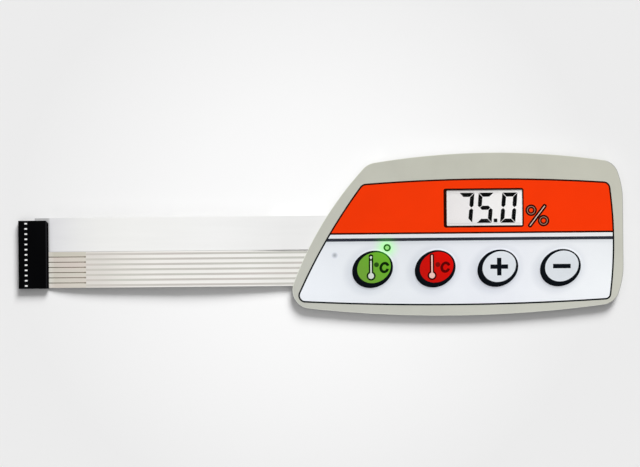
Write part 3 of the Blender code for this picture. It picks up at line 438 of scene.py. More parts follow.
def panel_outline():
    """The outline of the laminate."""
    return rounded(panel_corners(), (BASE_BOW, 0, 0, 0, TOP_BOW, SLANT_BOW), PANEL_RADII)


def slant_chord(height):
    """The X of the straight line between the slanted side's corners at a height."""
    foot, head = panel_corners()[0], panel_corners()[5]
    return foot[0] + (height - foot[1]) / (head[1] - foot[1]) * (head[0] - foot[0])


def field_outline():
    """The middle of the printed keyline."""
    corners = panel_corners()
    right = corners[1][0] - FIELD_RIGHT_MARGIN
    base, top = corners[1][1] + FIELD_BASE_MARGIN, corners[4][1] - FIELD_TOP_MARGIN
    foot = slant_chord(base) + FIELD_SLANT_MARGIN_AT_BASE
    head = slant_chord(top) + FIELD_SLANT_MARGIN_AT_TOP
    return rounded([(foot, base), (right, base), (right, top), (head, top)], FIELD_BOWS, FIELD_RADII)


def window_centre():
    """The middle of the display window."""
    right, top = moved(panel_corners()[4], (-WINDOW_RIGHT_MARGIN, -WINDOW_TOP_MARGIN))
    return right - WINDOW_LENGTH / 2, top - WINDOW_HEIGHT / 2


def window_loop(left=0.0, base=0.0, right=0.0, top=0.0):
    """The window's rounded outline, or one that stands outside it by a margin on each side."""
    (x, y), dx, dy = window_centre(), WINDOW_LENGTH / 2, WINDOW_HEIGHT / 2
    corners = oblong(x - dx - left, y - dy - base, x + dx + right, y + dy + top)
    return rounded(corners, (0, 0, 0, 0), (WINDOW_RADIUS + min(left, base, right, top),) * 4)


def cell_rectangle(margin, ledge=0.0):
    """A rectangle round the window, with a ledge below it."""
    (x, y), dx, dy = window_centre(), WINDOW_LENGTH / 2 + margin, WINDOW_HEIGHT / 2 + margin
    return oblong(x - dx, y - dy - ledge, x + dx, y + dy)


def key_centres():
    """The centres of the keys from left to right."""
    first, height = moved(panel_corners()[0], (KEY_LEFT_MARGIN, KEY_BASE_MARGIN))
    last = panel_corners()[1][0] - KEY_RIGHT_MARGIN
    return [(first + (last - first) * n / (KEY_COUNT - 1), height) for n in range(KEY_COUNT)]


def position_height(n):
    """The Y of a connector position, counted from the top."""
    return TAIL_CENTRE_HEIGHT + ((POSITIONS - 1) / 2 - n) * PITCH


def floor_of(node):
    """The lowest Z of a solid where it lies in the panel, in millimetres."""
    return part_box(node)[0].z / MM


def roof_of(node):
    """The highest Z of a solid, in millimetres."""
    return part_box(node)[1].z / MM


SPLIT_HEIGHT = window_centre()[1] - WINDOW_HEIGHT / 2 - SPLIT_DROP
LAMP = moved(key_centres()[0], LAMP_PLACE)
SPARE_LAMP = moved(key_centres()[0], SPARE_LAMP_PLACE)
TAIL_START = panel_corners()[0][0] - TAIL_CLEAR_OF_PANEL
HOUSING_REAR = TAIL_START - TAIL_LENGTH
FILM_END = HOUSING_REAR - FILM_INSERTION
OVERLAY_FLOOR = roof_of("graphic_overlay") - EMBOSS_HEIGHT - OVERLAY_THICKNESS
OVERLAY_TOP = OVERLAY_FLOOR + OVERLAY_THICKNESS


def emboss(x, y):
    """The height of the overlay's pillow over a key."""
    for centre in key_centres():
        dx, dy = x - centre[0], y - centre[1]
        u = (dx * math.cos(KEY_TILT) + dy * math.sin(KEY_TILT)) / (KEY_LENGTH / 2)
        v = (dy * math.cos(KEY_TILT) - dx * math.sin(KEY_TILT)) / (KEY_WIDTH / 2)
        share = (EMBOSS_FOOT_SCALE - math.hypot(u, v)) / (EMBOSS_FOOT_SCALE - EMBOSS_TOP_SCALE)
        if share > 0:
            share = min(share, 1.0)
            return EMBOSS_HEIGHT * share * share * (3 - 2 * share)
    return 0.0


# Meshes

def triangulated(outline, holes=(), zones=(), guides=(), seams=()):
    """Triangulates an outline: its points, and its triangles by zone, 0 outside them all."""
    points, edges, faces = [], [], []
    for loop in (outline, *holes, *zones, *guides):
        faces.append(list(range(len(points), len(points) + len(loop))))
        points += loop
    for start, end in seams:
        edges.append((len(points), len(points) + 1))
        points += [start, end]
    result = delaunay_2d_cdt(points, edges, faces, 0, SAME_POINT)
    first_zone = 1 + len(holes)
    by_zone = {}
    for triangle, owners in zip(result[2], result[5]):
        if 0 in owners and not any(0 < k < first_zone for k in owners):
            painted = [k - first_zone + 1 for k in owners if first_zone <= k < first_zone + len(zones)]
            by_zone.setdefault(max(painted, default=0), []).append(triangle)
    return result[0], by_zone


def slab(name, points, triangles, low, thickness, finish):
    """A closed sheet over triangles: low gives the height of its underside at a point."""
    mesh = bmesh.new()
    skins = []
    for lift in (0.0, thickness):
        verts = {}
        for n in sorted({n for triangle in triangles for n in triangle}):
            x, y = points[n]
            verts[n] = mesh.verts.new((x, y, low(x, y) + lift))
        skins.append(verts)
    base, top = skins
    edges = set()
    for triangle in triangles:
        mesh.faces.new([top[n] for n in triangle])
        mesh.faces.new([base[n] for n in triangle[::-1]])
        edges |= {(triangle[n - 1], triangle[n]) for n in range(3)}
    for start, end in edges:
        if (end, start) not in edges:
            mesh.faces.new((base[start], base[end], top[end], top[start]))
    return place(name, mesh, finish)


def place(name, mesh, finish):
    """Turns a bmesh in millimetres into a named piece that rides on the keypad."""
    bmesh.ops.scale(mesh, vec=(MM, MM, MM), verts=mesh.verts)
    data = bpy.data.meshes.new(name)
    mesh.to_mesh(data)
    mesh.free()
    return dress(name, data, finish)


def dress(name, data, finish):
    """A piece from a finished mesh in metres, with its finish."""
    data.materials.clear()
    data.materials.append(finish)
    data.shade_smooth()
    data.set_sharp_from_angle(angle=SMOOTH_BELOW)
    piece = bpy.data.objects.new(name, data)
    bpy.context.scene.collection.objects.link(piece)
    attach(piece, BODY)
    return piece


def level(height):
    """The underside of a sheet that lies flat at a height."""
    return lambda x, y: height


# Finishes: every pattern is read on object coordinates

def rgb(*levels):
    """A linear colour from screen values of 0 to 255: red, green and blue, or one value for a grey."""
    channels = []
    for value in levels if len(levels) == 3 else levels * 3:
        share = value / 255
        channels.append(share / 12.92 if share <= 0.04045 else ((share + 0.055) / 1.055) ** 2.4)
    return (*channels, 1.0)


def scaled(colour, factor):
    """A colour made lighter or darker."""
    return (*(min(channel * factor, 1.0) for channel in colour[:3]), 1.0)


def add(tree, kind, inputs=None, **settings):
    """Adds a shader node. Its inputs are values, or outputs of other nodes to link."""
    node = tree.nodes.new("ShaderNode" + kind)
    for key, value in settings.items():
        setattr(node, key, value)
    for key, value in (inputs or {}).items():
        if isinstance(value, bpy.types.NodeSocket):
            tree.links.new(value, node.inputs[key])
        else:
            node.inputs[key].default_value = value
    return node


def new_finish(name, roughness, shine, metallic=0.0):
    """A Principled material: the material, its tree, its shader and the object's own coordinates."""
    material = bpy.data.materials.new(name)
    material.use_nodes = True
    tree = material.node_tree
    shader = tree.nodes["Principled BSDF"]
    shader.inputs["Roughness"].default_value = roughness
    shader.inputs["Specular IOR Level"].default_value = shine
    shader.inputs["Metallic"].default_value = metallic
    return material, tree, shader, add(tree, "TexCoord").outputs["Object"]


def noise(tree, places, size, stretch=(1, 1, 1), detail=3.0):
    """Soft blobs about size millimetres across, longer along an axis whose stretch is over 1."""
    scale = [1 / (size * MM * s) for s in stretch]
    mapped = add(tree, "Mapping", {"Vector": places, "Scale": scale}).outputs["Vector"]
    return add(tree, "TexNoise", {"Vector": mapped, "Scale": 1.0, "Detail": detail}).outputs["Fac"]


def ramp(tree, factor, stops):
    """A colour ramp through stops, pairs of a place from 0 to 1 and a linear colour."""
    node = add(tree, "ValToRGB", {"Fac": factor})
    elements = node.color_ramp.elements
    while len(elements) < len(stops):
        elements.new(0.5)
    for element, (position, colour) in zip(elements, stops):
        element.position = position
        element.color = colour
    return node.outputs["Color"]


def graded(tree, factor, rows):
    """A colour ramp through rows of a place from 0 to 1 and a colour's screen values."""
    return ramp(tree, factor, [(position, rgb(*levels)) for position, *levels in rows])


def mottled(tree, factor, colour, drift):
    """A colour that drifts a little darker and lighter with a noise."""
    return ramp(tree, factor, ((0.3, scaled(colour, 1 - drift)), (0.7, scaled(colour, 1 + drift))))


def mixed(tree, factor, first, second, blend="MIX"):
    """Two colours mixed by a factor."""
    node = add(tree, "Mix", data_type="RGBA", blend_type=blend)
    for slot, value in ((0, factor), (6, first), (7, second)):
        if isinstance(value, bpy.types.NodeSocket):
            tree.links.new(value, node.inputs[slot])
        else:
            node.inputs[slot].default_value = value
    return node.outputs[2]


def times(tree, first, second):
    """Two colours multiplied."""
    return mixed(tree, 1.0, first, second, "MULTIPLY")


def maths(tree, operation, *values):
    """One step of arithmetic on values or outputs."""
    return add(tree, "Math", dict(enumerate(values)), operation=operation).outputs[0]


def distance(tree, places, centre):
    """How far a point lies, in metres, from a centre given in millimetres."""
    middle = [value * MM for value in centre]
    return add(tree, "VectorMath", {0: places, 1: middle}, operation="DISTANCE").outputs["Value"]


def spanned(tree, value, low, high, first=0.0, last=1.0, smooth=False):
    """A value carried from one span to another, and held at its ends."""
    inputs = {"Value": value, "From Min": low, "From Max": high, "To Min": first, "To Max": last}
    kind = "SMOOTHSTEP" if smooth else "LINEAR"
    return add(tree, "MapRange", inputs, interpolation_type=kind).outputs["Result"]


def grain(tree, shader, bumps):
    """Bumps from pairs of a noise and its depth in millimetres."""
    normal = None
    for height, depth in bumps:
        inputs = {"Height": height, "Distance": depth * MM}
        if normal:
            inputs["Normal"] = normal
        normal = add(tree, "Bump", inputs).outputs["Normal"]
    tree.links.new(normal, shader.inputs["Normal"])


def along(tree, places, axis):
    """One of the object's coordinates, in metres."""
    return add(tree, "SeparateXYZ", {"Vector": places}).outputs[axis]


def part_of(tree, places, axis, low, high):
    """How far along a span of one coordinate, given in millimetres, a point lies, from 0 to 1."""
    return spanned(tree, along(tree, places, axis), low * MM, high * MM)


def coat(tree, shader, tone, bumps, rough=None):
    """Gives a shader its colour, its bumps, and where rough says a noise and two ends, its roughness."""
    tree.links.new(tone, shader.inputs["Base Color"])
    if rough:
        tree.links.new(spanned(tree, rough[0], 0.3, 0.7, *rough[1:]), shader.inputs["Roughness"])
    grain(tree, shader, bumps)


def lamp_glow(tree, places):
    """How strongly the lit lamp's painted glow shows on the film at a point, from 1 down to 0."""
    gap = distance(tree, places, (LAMP[0] + GLOW_SHIFT, LAMP[1], OVERLAY_TOP))
    share = spanned(tree, gap, GLOW_CORE * MM, GLOW_REACH * MM, 1.0, 0.0)
    return maths(tree, "POWER", share, GLOW_FALL)


def round_keys(tree, places):
    """A tone that dips in a soft shade at the lower left of each key."""
    tone = rgb(255)
    for centre in key_centres():
        middle = [value * MM for value in moved(centre, SHADE_SHIFT)]
        turned = add(tree, "Mapping", {"Vector": places, "Location": (*middle, 0.0),
                                       "Rotation": (0.0, 0.0, KEY_TILT),
                                       "Scale": (KEY_LENGTH / 2 * MM, KEY_WIDTH / 2 * MM, 1.0)},
                     vector_type="TEXTURE").outputs["Vector"]
        gap = add(tree, "VectorMath", {0: turned}, operation="LENGTH").outputs["Value"]
        share = spanned(tree, gap, *SHADE_SPAN, smooth=True)
        tone = times(tree, tone, graded(tree, share, ((0.0, *SHADE_TONE), (1.0, 255))))
    return tone


def painted_key_sheen(tree, places, centre, rows):
    """A painted sheen: a tone that runs over a key's face from its lower left to its upper right."""
    right, up = SHEEN_HEADING
    slant = add(tree, "VectorMath", {0: places, 1: (right, up, 0.0)},
                operation="DOT_PRODUCT").outputs["Value"]
    middle, reach = (right * centre[0] + up * centre[1]) * MM, FACE_WIDTH / 2 * MM
    return graded(tree, spanned(tree, slant, middle - reach, middle + reach), rows)


def ink(name, colour, drift=0.03, shine=0.04, glow=0.0, glow_tint=None, stops=None, slope=None, shaded=False,
        sheen=None):
    """Screen ink under a velvet film: a drift of colour, a fine grain and, where it reaches, a painted glow
    of the lamp, as emission and as a tint where one is given.

    The tone may also shift from the panel's base to its top by the rows in stops, and from its left to
    its right by those in slope, and be shaded round the keys. A painted sheen, a key's centre and rows,
    lightens and darkens the face from the key's lower left to its upper right.
    """
    material, tree, shader, places = new_finish(name, 0.55, shine)
    cloud, fine = noise(tree, places, 16), noise(tree, places, 0.3)
    base = times(tree, mottled(tree, cloud, colour, drift), mottled(tree, fine, rgb(250), 0.02))
    for axis, half, rows in (("Y", PANEL_HEIGHT / 2, stops), ("X", BASE_LENGTH / 2, slope)):
        if rows:
            base = times(tree, base, graded(tree, part_of(tree, places, axis, -half, half), rows))
    if shaded:
        base = times(tree, base, round_keys(tree, places))
    if sheen:
        base = times(tree, base, painted_key_sheen(tree, places, *sheen))
    if glow:
        lit = lamp_glow(tree, places)
        if glow_tint:
            base = mixed(tree, lit, base, glow_tint)
        tree.links.new(maths(tree, "MULTIPLY", lit, glow), shader.inputs["Emission Strength"])
        shader.inputs["Emission Color"].default_value = rgb(90, 255, 60)
    coat(tree, shader, base, ((cloud, 0.02), (fine, 0.006)), (fine, 0.5, 0.62))
    return material


def lamp_spot(name):
    """The unprinted spot over the lit lamp, with a painted glow that is brightest in its middle."""
    material, tree, shader, places = new_finish(name, 0.4, 0.2)
    middle = spanned(tree, distance(tree, places, (*LAMP, OVERLAY_TOP)), 0.0, LAMP_RING_RADIUS * MM)
    tint = graded(tree, middle, ((0.0, 134, 200, 112), (0.3, 146, 216, 124), (0.6, 120, 190, 96)))
    tree.links.new(tint, shader.inputs["Emission Color"])
    shader.inputs["Emission Strength"].default_value = 0.15
    coat(tree, shader, tint, ((noise(tree, places, 0.3), 0.006),))
    return material


def spare_spot(name):
    """The faint spot over the lamp that isn't lit, which fades into the pale field."""
    material, tree, shader, places = new_finish(name, 0.5, 0.04)
    share = spanned(tree, distance(tree, places, (*SPARE_LAMP, OVERLAY_TOP)), 0.0, SPARE_SPOT_RADIUS * MM)
    tint = graded(tree, share, ((0.15, 166, 170, 177), (0.55, 200, 204, 211), (1.0, 229, 233, 241)))
    coat(tree, shader, tint, ((noise(tree, places, 0.3), 0.006),))
    return material


def film(name, colour, drift=0.02, shine=0.3, roughness=0.4, depth=0.004):
    """Milky polyester or adhesive: faint clouds and a fine haze of grain."""
    material, tree, shader, places = new_finish(name, roughness, shine)
    cloud, fine = noise(tree, places, 22), noise(tree, places, 0.5)
    coat(tree, shader, mottled(tree, cloud, colour, drift), ((fine, depth),),
         (fine, roughness - 0.05, roughness + 0.07))
    return material


def tail_film(name, rows):
    """Circuit film whose tone shifts along the tail, from the connector to the panel, by rows that for the
    upper film hold painted shade where it runs into the housing.
    """
    material, tree, shader, places = new_finish(name, 0.45, 0.2)
    share = part_of(tree, places, "X", FILM_END, TAIL_START)
    streaks, fine = noise(tree, places, 3, stretch=(14, 1, 1)), noise(tree, places, 0.5)
    tone = times(tree, graded(tree, share, rows), mottled(tree, streaks, rgb(252), 0.012))
    coat(tree, shader, tone, ((streaks, 0.01), (fine, 0.004)), (fine, 0.4, 0.52))
    return material


def tail_print_and_slit_shade(name, rows, drift=0.03):
    """Print on the tail with fine streaks along it: silver tracks, fingers, and dark strips painted as the
    shade in the slits between the fingers.
    """
    material, tree, shader, places = new_finish(name, 0.5, 0.2)
    share = part_of(tree, places, "X", HOUSING_REAR, TAIL_START)
    streaks = noise(tree, places, 0.5, stretch=(30, 1, 1))
    shifts = noise(tree, places, 5, stretch=(6, 1, 1))
    tone = times(tree, graded(tree, share, rows), mottled(tree, streaks, rgb(250), drift))
    tone = times(tree, tone, graded(tree, shifts, ((0.35, 250, 252, 246), (0.65, 254, 248, 246))))
    coat(tree, shader, tone, ((streaks, 0.008), (noise(tree, places, 0.25), 0.006)))
    return material


def moulded(name, colour, shine, roughness=0.5, depth=0.012):
    """Moulded plastic with a fine spark-eroded texture."""
    material, tree, shader, places = new_finish(name, roughness, shine)
    pits, cloud = noise(tree, places, 0.35, detail=5.0), noise(tree, places, 6)
    coat(tree, shader, mottled(tree, cloud, colour, 0.12), ((pits, depth),),
         (pits, roughness - 0.08, roughness + 0.1))
    return material


def housing_plastic(name):
    """The connector's black plastic, with a painted highlight along the ridge by its rear edge."""
    material, tree, shader, places = new_finish(name, 0.5, 0.015)
    pits, cloud = noise(tree, places, 0.35, detail=5.0), noise(tree, places, 6)
    side = maths(tree, "SUBTRACT", along(tree, places, "X"), (HOUSING_REAR - RIDGE_PLACE) * MM)
    gap = maths(tree, "ABSOLUTE", side)
    share = spanned(tree, gap, RIDGE_WIDTH / 4 * MM, RIDGE_WIDTH / 2 * MM, 1.0, 0.0)
    base = mixed(tree, share, mottled(tree, cloud, rgb(3, 3, 4), 0.12), rgb(33, 33, 36))
    coat(tree, shader, base, ((pits, 0.012),), (pits, 0.42, 0.6))
    return material


def strip_metal(name, colour, roughness):
    """Rolled strip: faint rolling marks and a slight cloud in its shine."""
    material, tree, shader, places = new_finish(name, roughness, 0.5, 1.0)
    marks, cloud = noise(tree, places, 0.12, stretch=(12, 1, 1)), noise(tree, places, 1.5)
    coat(tree, shader, mottled(tree, marks, colour, 0.04), ((marks, 0.003),),
         (cloud, roughness - 0.05, roughness + 0.08))
    return material


def contact_tin(name):
    """Tinned strip with a painted highlight on the flat under each inspection window and painted shade over
    the rest, its folds too.
    """
    material, tree, shader, places = new_finish(name, 0.22, 0.5, 1.0)
    marks = noise(tree, places, 0.12, stretch=(12, 1, 1))
    lowest = position_height(POSITIONS - 1) - PITCH / 2
    side = maths(tree, "SUBTRACT", along(tree, places, "X"), (HOUSING_REAR - SPOT_PLACE) * MM)
    row = maths(tree, "SUBTRACT", along(tree, places, "Y"), lowest * MM)
    row = maths(tree, "SUBTRACT", maths(tree, "FLOORED_MODULO", row, PITCH * MM), PITCH / 2 * MM)
    shares = []
    for gap, half in ((side, SPOT_LENGTH / 2), (row, SPOT_WIDTH / 2)):
        gap = maths(tree, "ABSOLUTE", gap)
        shares.append(spanned(tree, gap, (half - SPOT_FADE) * MM, (half + SPOT_FADE) * MM, 1.0, 0.0))
    bright = mottled(tree, marks, rgb(226, 226, 225), 0.04)
    coat(tree, shader, mixed(tree, maths(tree, "MULTIPLY", *shares), rgb(70, 70, 72), bright),
         ((marks, 0.003),))
    return material


def kraft_paper(name):
    """Siliconised release paper with short fibres."""
    material, tree, shader, places = new_finish(name, 0.55, 0.3)
    fibres, cloud = noise(tree, places, 0.4, stretch=(4, 1, 1), detail=6.0), noise(tree, places, 9)
    base = times(tree, mottled(tree, cloud, rgb(224, 211, 181), 0.04),
                 mottled(tree, fibres, rgb(245, 244, 240), 0.05))
    coat(tree, shader, base, ((fibres, 0.01),))
    return material


def clear_sheet(name, shine_index, haze):
    """A clear sheet: it lets light straight through and mirrors a little on its outside, more at a slant."""
    material, tree, shader, places = new_finish(name, haze, 0.5)
    tree.nodes.remove(shader)
    rough = spanned(tree, noise(tree, places, 0.4), 0.3, 0.7, haze * 0.8, haze * 1.2)
    gloss = add(tree, "BsdfAnisotropic", {"Color": rgb(255), "Roughness": rough}).outputs["BSDF"]
    through = add(tree, "BsdfTransparent", {"Color": rgb(254)}).outputs["BSDF"]
    front = maths(tree, "SUBTRACT", 1.0, add(tree, "NewGeometry").outputs["Backfacing"])
    share = maths(tree, "MULTIPLY", add(tree, "Fresnel", {"IOR": shine_index}).outputs["Fac"], front)
    sheet = add(tree, "MixShader", {0: share, 1: through, 2: gloss}).outputs["Shader"]
    tree.links.new(sheet, tree.nodes["Material Output"].inputs["Surface"])
    return material


def lens(name, colour, strength):
    """The moulded lens of a small lamp, lit or not."""
    material, tree, shader, places = new_finish(name, 0.2, 0.5)
    cloud = noise(tree, places, 0.5)
    tint = mottled(tree, cloud, colour, 0.05)
    tree.links.new(tint, shader.inputs["Emission Color"])
    shader.inputs["Emission Strength"].default_value = strength
    coat(tree, shader, tint, ((cloud, 0.004),))
    return material


# The overlay: one clear film with an ink layer for each printed colour

# Rows of tones, which multiply a colour from the base or the left of the panel or window to its far side
ORANGE_SLOPE = ((0.15, 246, 250, 255), (0.5, 250, 254, 255), (1.0, 255))
# PALE_RISE and PALE_SLOPE paint light and shade over the pale field; PALE_RISE also darkens a strip just
# under the split line
PALE_RISE = ((0.0, 252), (0.1, 255), (0.2, 253), (0.4, 247), (0.42, 245), (0.436, 236, 236, 237),
             (0.451, 228, 229, 230), (0.475, 245, 244, 243), (0.56, 246, 244, 241))
PALE_SLOPE = ((0.0, 250, 251, 254), (0.3, 244, 245, 247), (0.62, 247, 247, 251), (0.86, 252, 252, 253),
              (1.0, 255))
BORDER_RISE = ((0.0, 254), (1.0, 250, 249, 245))
BORDER_SLOPE = ((0.15, 246, 246, 247), (0.5, 250), (1.0, 255, 254, 253))
GROUND_SLOPE = ((0.0, 234, 231, 231), (0.1, 237, 234, 233), (0.3, 239, 236, 236), (0.5, 243, 242, 241),
                (0.85, 248, 246, 244), (1.0, 251, 249, 247))
# GROUND_RISE dips just inside the window's base and top: painted shadow of the frame
GROUND_RISE = ((0.03, 238), (0.064, 233), (0.09, 248), (0.2, 255), (0.85, 254), (0.89, 250), (0.92, 241),
               (0.94, 238), (0.97, 252))

# Tones along the tail, from the connector to the panel; both films are darker towards the connector, and the
# white film's end where it runs into the housing is painted in shade
WHITE_ROWS = ((0.0, 186, 186, 187), (0.054, 188, 188, 189), (0.062, 228, 228, 230), (0.11, 231, 231, 232),
              (0.18, 236, 236, 235), (0.27, 240, 240, 238), (0.4, 243, 243, 241), (0.72, 243, 243, 242),
              (1.0, 236, 236, 235))
CREAM_ROWS = ((0.05, 222, 217, 210), (0.27, 224, 220, 214), (0.36, 234, 231, 225), (0.48, 242, 240, 235),
              (0.86, 242, 241, 237), (1.0, 236, 235, 230))
SILVER_ROWS = ((0.0, 213, 208, 203), (0.3, 208, 206, 202), (0.6, 202, 200, 197))
# The beige and olive fingers are lighter at their ends by the housing: a painted highlight
BEIGE_ROWS = ((0.0, 238, 235, 231), (0.01, 229, 225, 220), (0.024, 216, 210, 203), (0.16, 219, 214, 207))
OLIVE_ROWS = ((0.0, 230, 228, 222), (0.01, 218, 216, 208), (0.024, 207, 205, 194), (0.16, 211, 209, 199))
# Dark strips painted as the shade in the slits between the fingers
SLIT_SHADE_ROWS = ((0.0, 100, 92, 82), (0.16, 126, 118, 104))


def field_inks():
    """The print of the panel's fields, from the lowest ink up: each piece, its finish and a loop."""
    black = ink("ink_black", rgb(9, 13, 18), shine=0.02, drift=0.1, glow=0.3)
    warm = ink("ink_warm_black", rgb(40, 10, 4), shine=0.02, drift=0.1)
    orange = ink("ink_orange", rgb(252, 57, 3), drift=0.02, glow=0.02, slope=ORANGE_SLOPE)
    pale = ink("ink_pale", rgb(248, 251, 254), drift=0.015, glow=0.1, glow_tint=rgb(186, 246, 182),
               stops=PALE_RISE, slope=PALE_SLOPE, shaded=True)
    slate = ink("ink_slate", rgb(46, 49, 58), drift=0.08, glow=0.25)
    border = ink("ink_warm_grey", rgb(204, 205, 195), stops=BORDER_RISE, slope=BORDER_SLOPE)
    keyline = field_outline()
    rim = inset(keyline, -KEYLINE_WIDTH / 2)
    field = inset(keyline, KEYLINE_WIDTH / 2)
    top = PANEL_HEIGHT
    band = SPLIT_HEIGHT - BAND_DROP
    return [
        ("ink_border", border, inset(panel_outline(), CUT_EDGE)),
        ("ink_keyline", black, rim),
        ("ink_pale_field", pale, field),
        ("ink_warm_keyline", warm, clipped(rim, SPLIT_HEIGHT, top)),
        ("ink_warm_keyline", warm, clipped(field, SPLIT_HEIGHT - SPLIT_LINE_WIDTH / 2, top)),
        ("ink_orange_field", orange, clipped(field, SPLIT_HEIGHT + SPLIT_LINE_WIDTH / 2, top)),
        ("ink_band", slate, clipped(field, band - BAND_WIDTH / 2, band + BAND_WIDTH / 2)),
        ("ink_window_frame", warm, window_loop(*FRAME_SIDES)),
        ("overlay_window", clear_sheet("window_clear", 1.1, 0.12), window_loop()),
        *percent_inks(warm, orange),
        *lamp_inks(),
        *[row for number, centre in enumerate(key_centres()) for row in key_inks(number, centre, black)],
    ]


def percent_inks(dark, orange):
    """The percent sign: two rings and a slash, each a pale line between dark ones."""
    pale = ink("ink_percent_pale", rgb(170, 124, 106))
    bright = ink("ink_slash_pale", rgb(226, 196, 184))
    rings = (("ink_percent_dark", dark), ("ink_percent_pale", pale), ("ink_percent_dark", dark),
             ("ink_orange_field", orange))
    rows = [(name, finish, disc(centre, radius))
            for centre in PERCENT_RINGS for radius, (name, finish) in zip(PERCENT_RADII, rings)]
    strokes = (("ink_percent_dark", dark), ("ink_percent_slash", bright))
    rows += [(name, finish, capsule(*PERCENT_SLASH, width))
             for width, (name, finish) in zip(PERCENT_SLASH_WIDTHS, strokes)]
    return rows


def lamp_inks():
    """The ring and the bright spot over the lit lamp, and the dim spot over the spare one."""
    ring = ink("ink_lamp_ring", rgb(34, 104, 24), glow=0.02)
    spot = spare_spot("ink_spare_spot")
    return [("ink_lamp_ring", ring, disc(LAMP, LAMP_RING_RADIUS)),
            ("ink_lamp_spot", lamp_spot("ink_lamp_spot"), disc(LAMP, LAMP_RING_RADIUS - LAMP_RING_WIDTH)),
            ("ink_spare_spot", spot, disc(SPARE_LAMP, SPARE_SPOT_RADIUS))]


KEY_COLOURS = ((112, 174, 56), (216, 17, 9), (222, 227, 232), (222, 227, 232))
# Painted sheen over the green and red keys' faces, lighter and darker from lower left to upper right
KEY_SHEENS = (((0.1, 255, 242, 255), (0.9, 238, 255, 215)), ((0.1, 236, 255, 255), (0.9, 255, 190, 150)),
              None, None)
LINE_COLOURS = ((12, 34, 4), (56, 4, 4), (9, 14, 20), (9, 14, 20))
LETTER_COLOURS = ((8, 32, 3), (92, 3, 4))
DEGREE_COLOURS = ((40, 76, 22), (124, 16, 12))
CORE_COLOURS = ((214, 222, 212), (240, 196, 186))


def key_inks(number, centre, black):
    """The print of one key: its dark oval, its face and the sign on the face."""
    tag = number + 1
    face = ink(f"ink_face_{tag}", rgb(*KEY_COLOURS[number]), glow=0.03 if number == 0 else 0.0,
               sheen=KEY_SHEENS[number] and (moved(centre, FACE_SHIFT), KEY_SHEENS[number]))
    line = ink(f"ink_line_{tag}", rgb(*LINE_COLOURS[number]), shine=0.02)
    middle = moved(centre, FACE_SHIFT)
    rows = [(f"ink_key_rim_{tag}", black, oval(centre, KEY_LENGTH, KEY_WIDTH, KEY_TILT)),
            (f"ink_key_face_{tag}", face, oval(middle, FACE_LENGTH, FACE_WIDTH, FACE_TILT))]
    if number >= len(STEM_PLACES):
        sign = moved(centre, SIGN_PLACE)
        rows.append((f"ink_sign_{tag}", line, block(sign, SIGN_LENGTH, SIGN_STROKE)))
        if number == len(STEM_PLACES):
            rows.append((f"ink_sign_{tag}", line, block(sign, SIGN_STROKE, SIGN_LENGTH)))
        return rows
    bulb = moved(centre, (STEM_PLACES[number], -BULB_DROP))
    core = ink(f"ink_core_{tag}", rgb(*CORE_COLOURS[number]))
    letter = ink(f"ink_letter_{tag}", rgb(*LETTER_COLOURS[number]), shine=0.02)
    degree = ink(f"ink_degree_{tag}", rgb(*DEGREE_COLOURS[number]), shine=0.02)
    rows.append((f"ink_bulb_line_{tag}", line,
                 bulb_and_stem(bulb, centre[1] + STEM_TOP, STEM_HALF_WIDTH, BULB_RADIUS)))
    rows.append((f"ink_bulb_core_{tag}", core,
                 bulb_and_stem(bulb, centre[1] + CORE_TOPS[number], CORE_HALF_WIDTH, CORE_BULB_RADIUS)))
    if number == 0:
        middle = (bulb[0], centre[1] + DROP_PLACE)
        rows.append((f"ink_bulb_core_{tag}", core, droplet(middle, DROP_RADIUS, centre[1] + DROP_TIP)))
    rows.append((f"ink_degree_{tag}", degree, disc(moved(centre, DEGREE_PLACES[number]), DEGREE_RADIUS)))
    rows.append((f"ink_letter_{tag}", letter, letter_c(moved(centre, LETTER_PLACES[number]))))
    return rows


def emboss_guides():
    """Rings that shape the slope round each key."""
    rings = []
    for centre in key_centres():
        for n in range(EMBOSS_RINGS):
            share = n / (EMBOSS_RINGS - 1)
            scale = EMBOSS_TOP_SCALE + (EMBOSS_FOOT_SCALE - EMBOSS_TOP_SCALE) * share
            rings.append(oval(centre, KEY_LENGTH * scale, KEY_WIDTH * scale, KEY_TILT))
    return rings


def overlay():
    """The film and its inks, all cut from one triangulation so that every edge meets."""
    rows = field_inks()
    points, by_zone = triangulated(panel_outline(), zones=[loop for _, _, loop in rows],
                                   guides=emboss_guides())
    layers, finishes = {}, {}
    for number, (name, finish, _) in enumerate(rows, 1):
        layers.setdefault(name, []).extend(by_zone.get(number, []))
        finishes[name] = finish
    window = layers.pop("overlay_window")
    printed = [triangle for triangles in layers.values() for triangle in triangles]
    clear = cut_film("overlay_polyester")

    def underside(x, y):
        return OVERLAY_FLOOR + emboss(x, y)

    def face(x, y):
        return OVERLAY_TOP + emboss(x, y)

    body = slab("overlay_film", points, printed + by_zone[0], underside, OVERLAY_THICKNESS, clear)
    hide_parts("graphic_overlay")
    pane = slab("overlay_window", points, window, underside, OVERLAY_THICKNESS, finishes["overlay_window"])
    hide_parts("graphic_overlay")
    for name, triangles in layers.items():
        slab(name, points, triangles, face, INK_THICKNESS, finishes[name])


def ground_film(name):
    """The display's pale ground, with painted shadow of the window frame just inside its top and base, and
    brighter from its left end towards its right end.
    """
    material, tree, shader, places = new_finish(name, 0.4, 0.1)
    (x, y), dx, dy = window_centre(), WINDOW_LENGTH / 2, WINDOW_HEIGHT / 2
    tone = times(tree, graded(tree, part_of(tree, places, "X", x - dx, x + dx), GROUND_SLOPE),
                 graded(tree, part_of(tree, places, "Y", y - dy, y + dy), GROUND_RISE))
    tone = times(tree, tone, mottled(tree, noise(tree, places, 8), rgb(253), 0.008))
    fine = noise(tree, places, 0.5)
    coat(tree, shader, tone, ((fine, 0.004),), (fine, 0.35, 0.47))
    return material


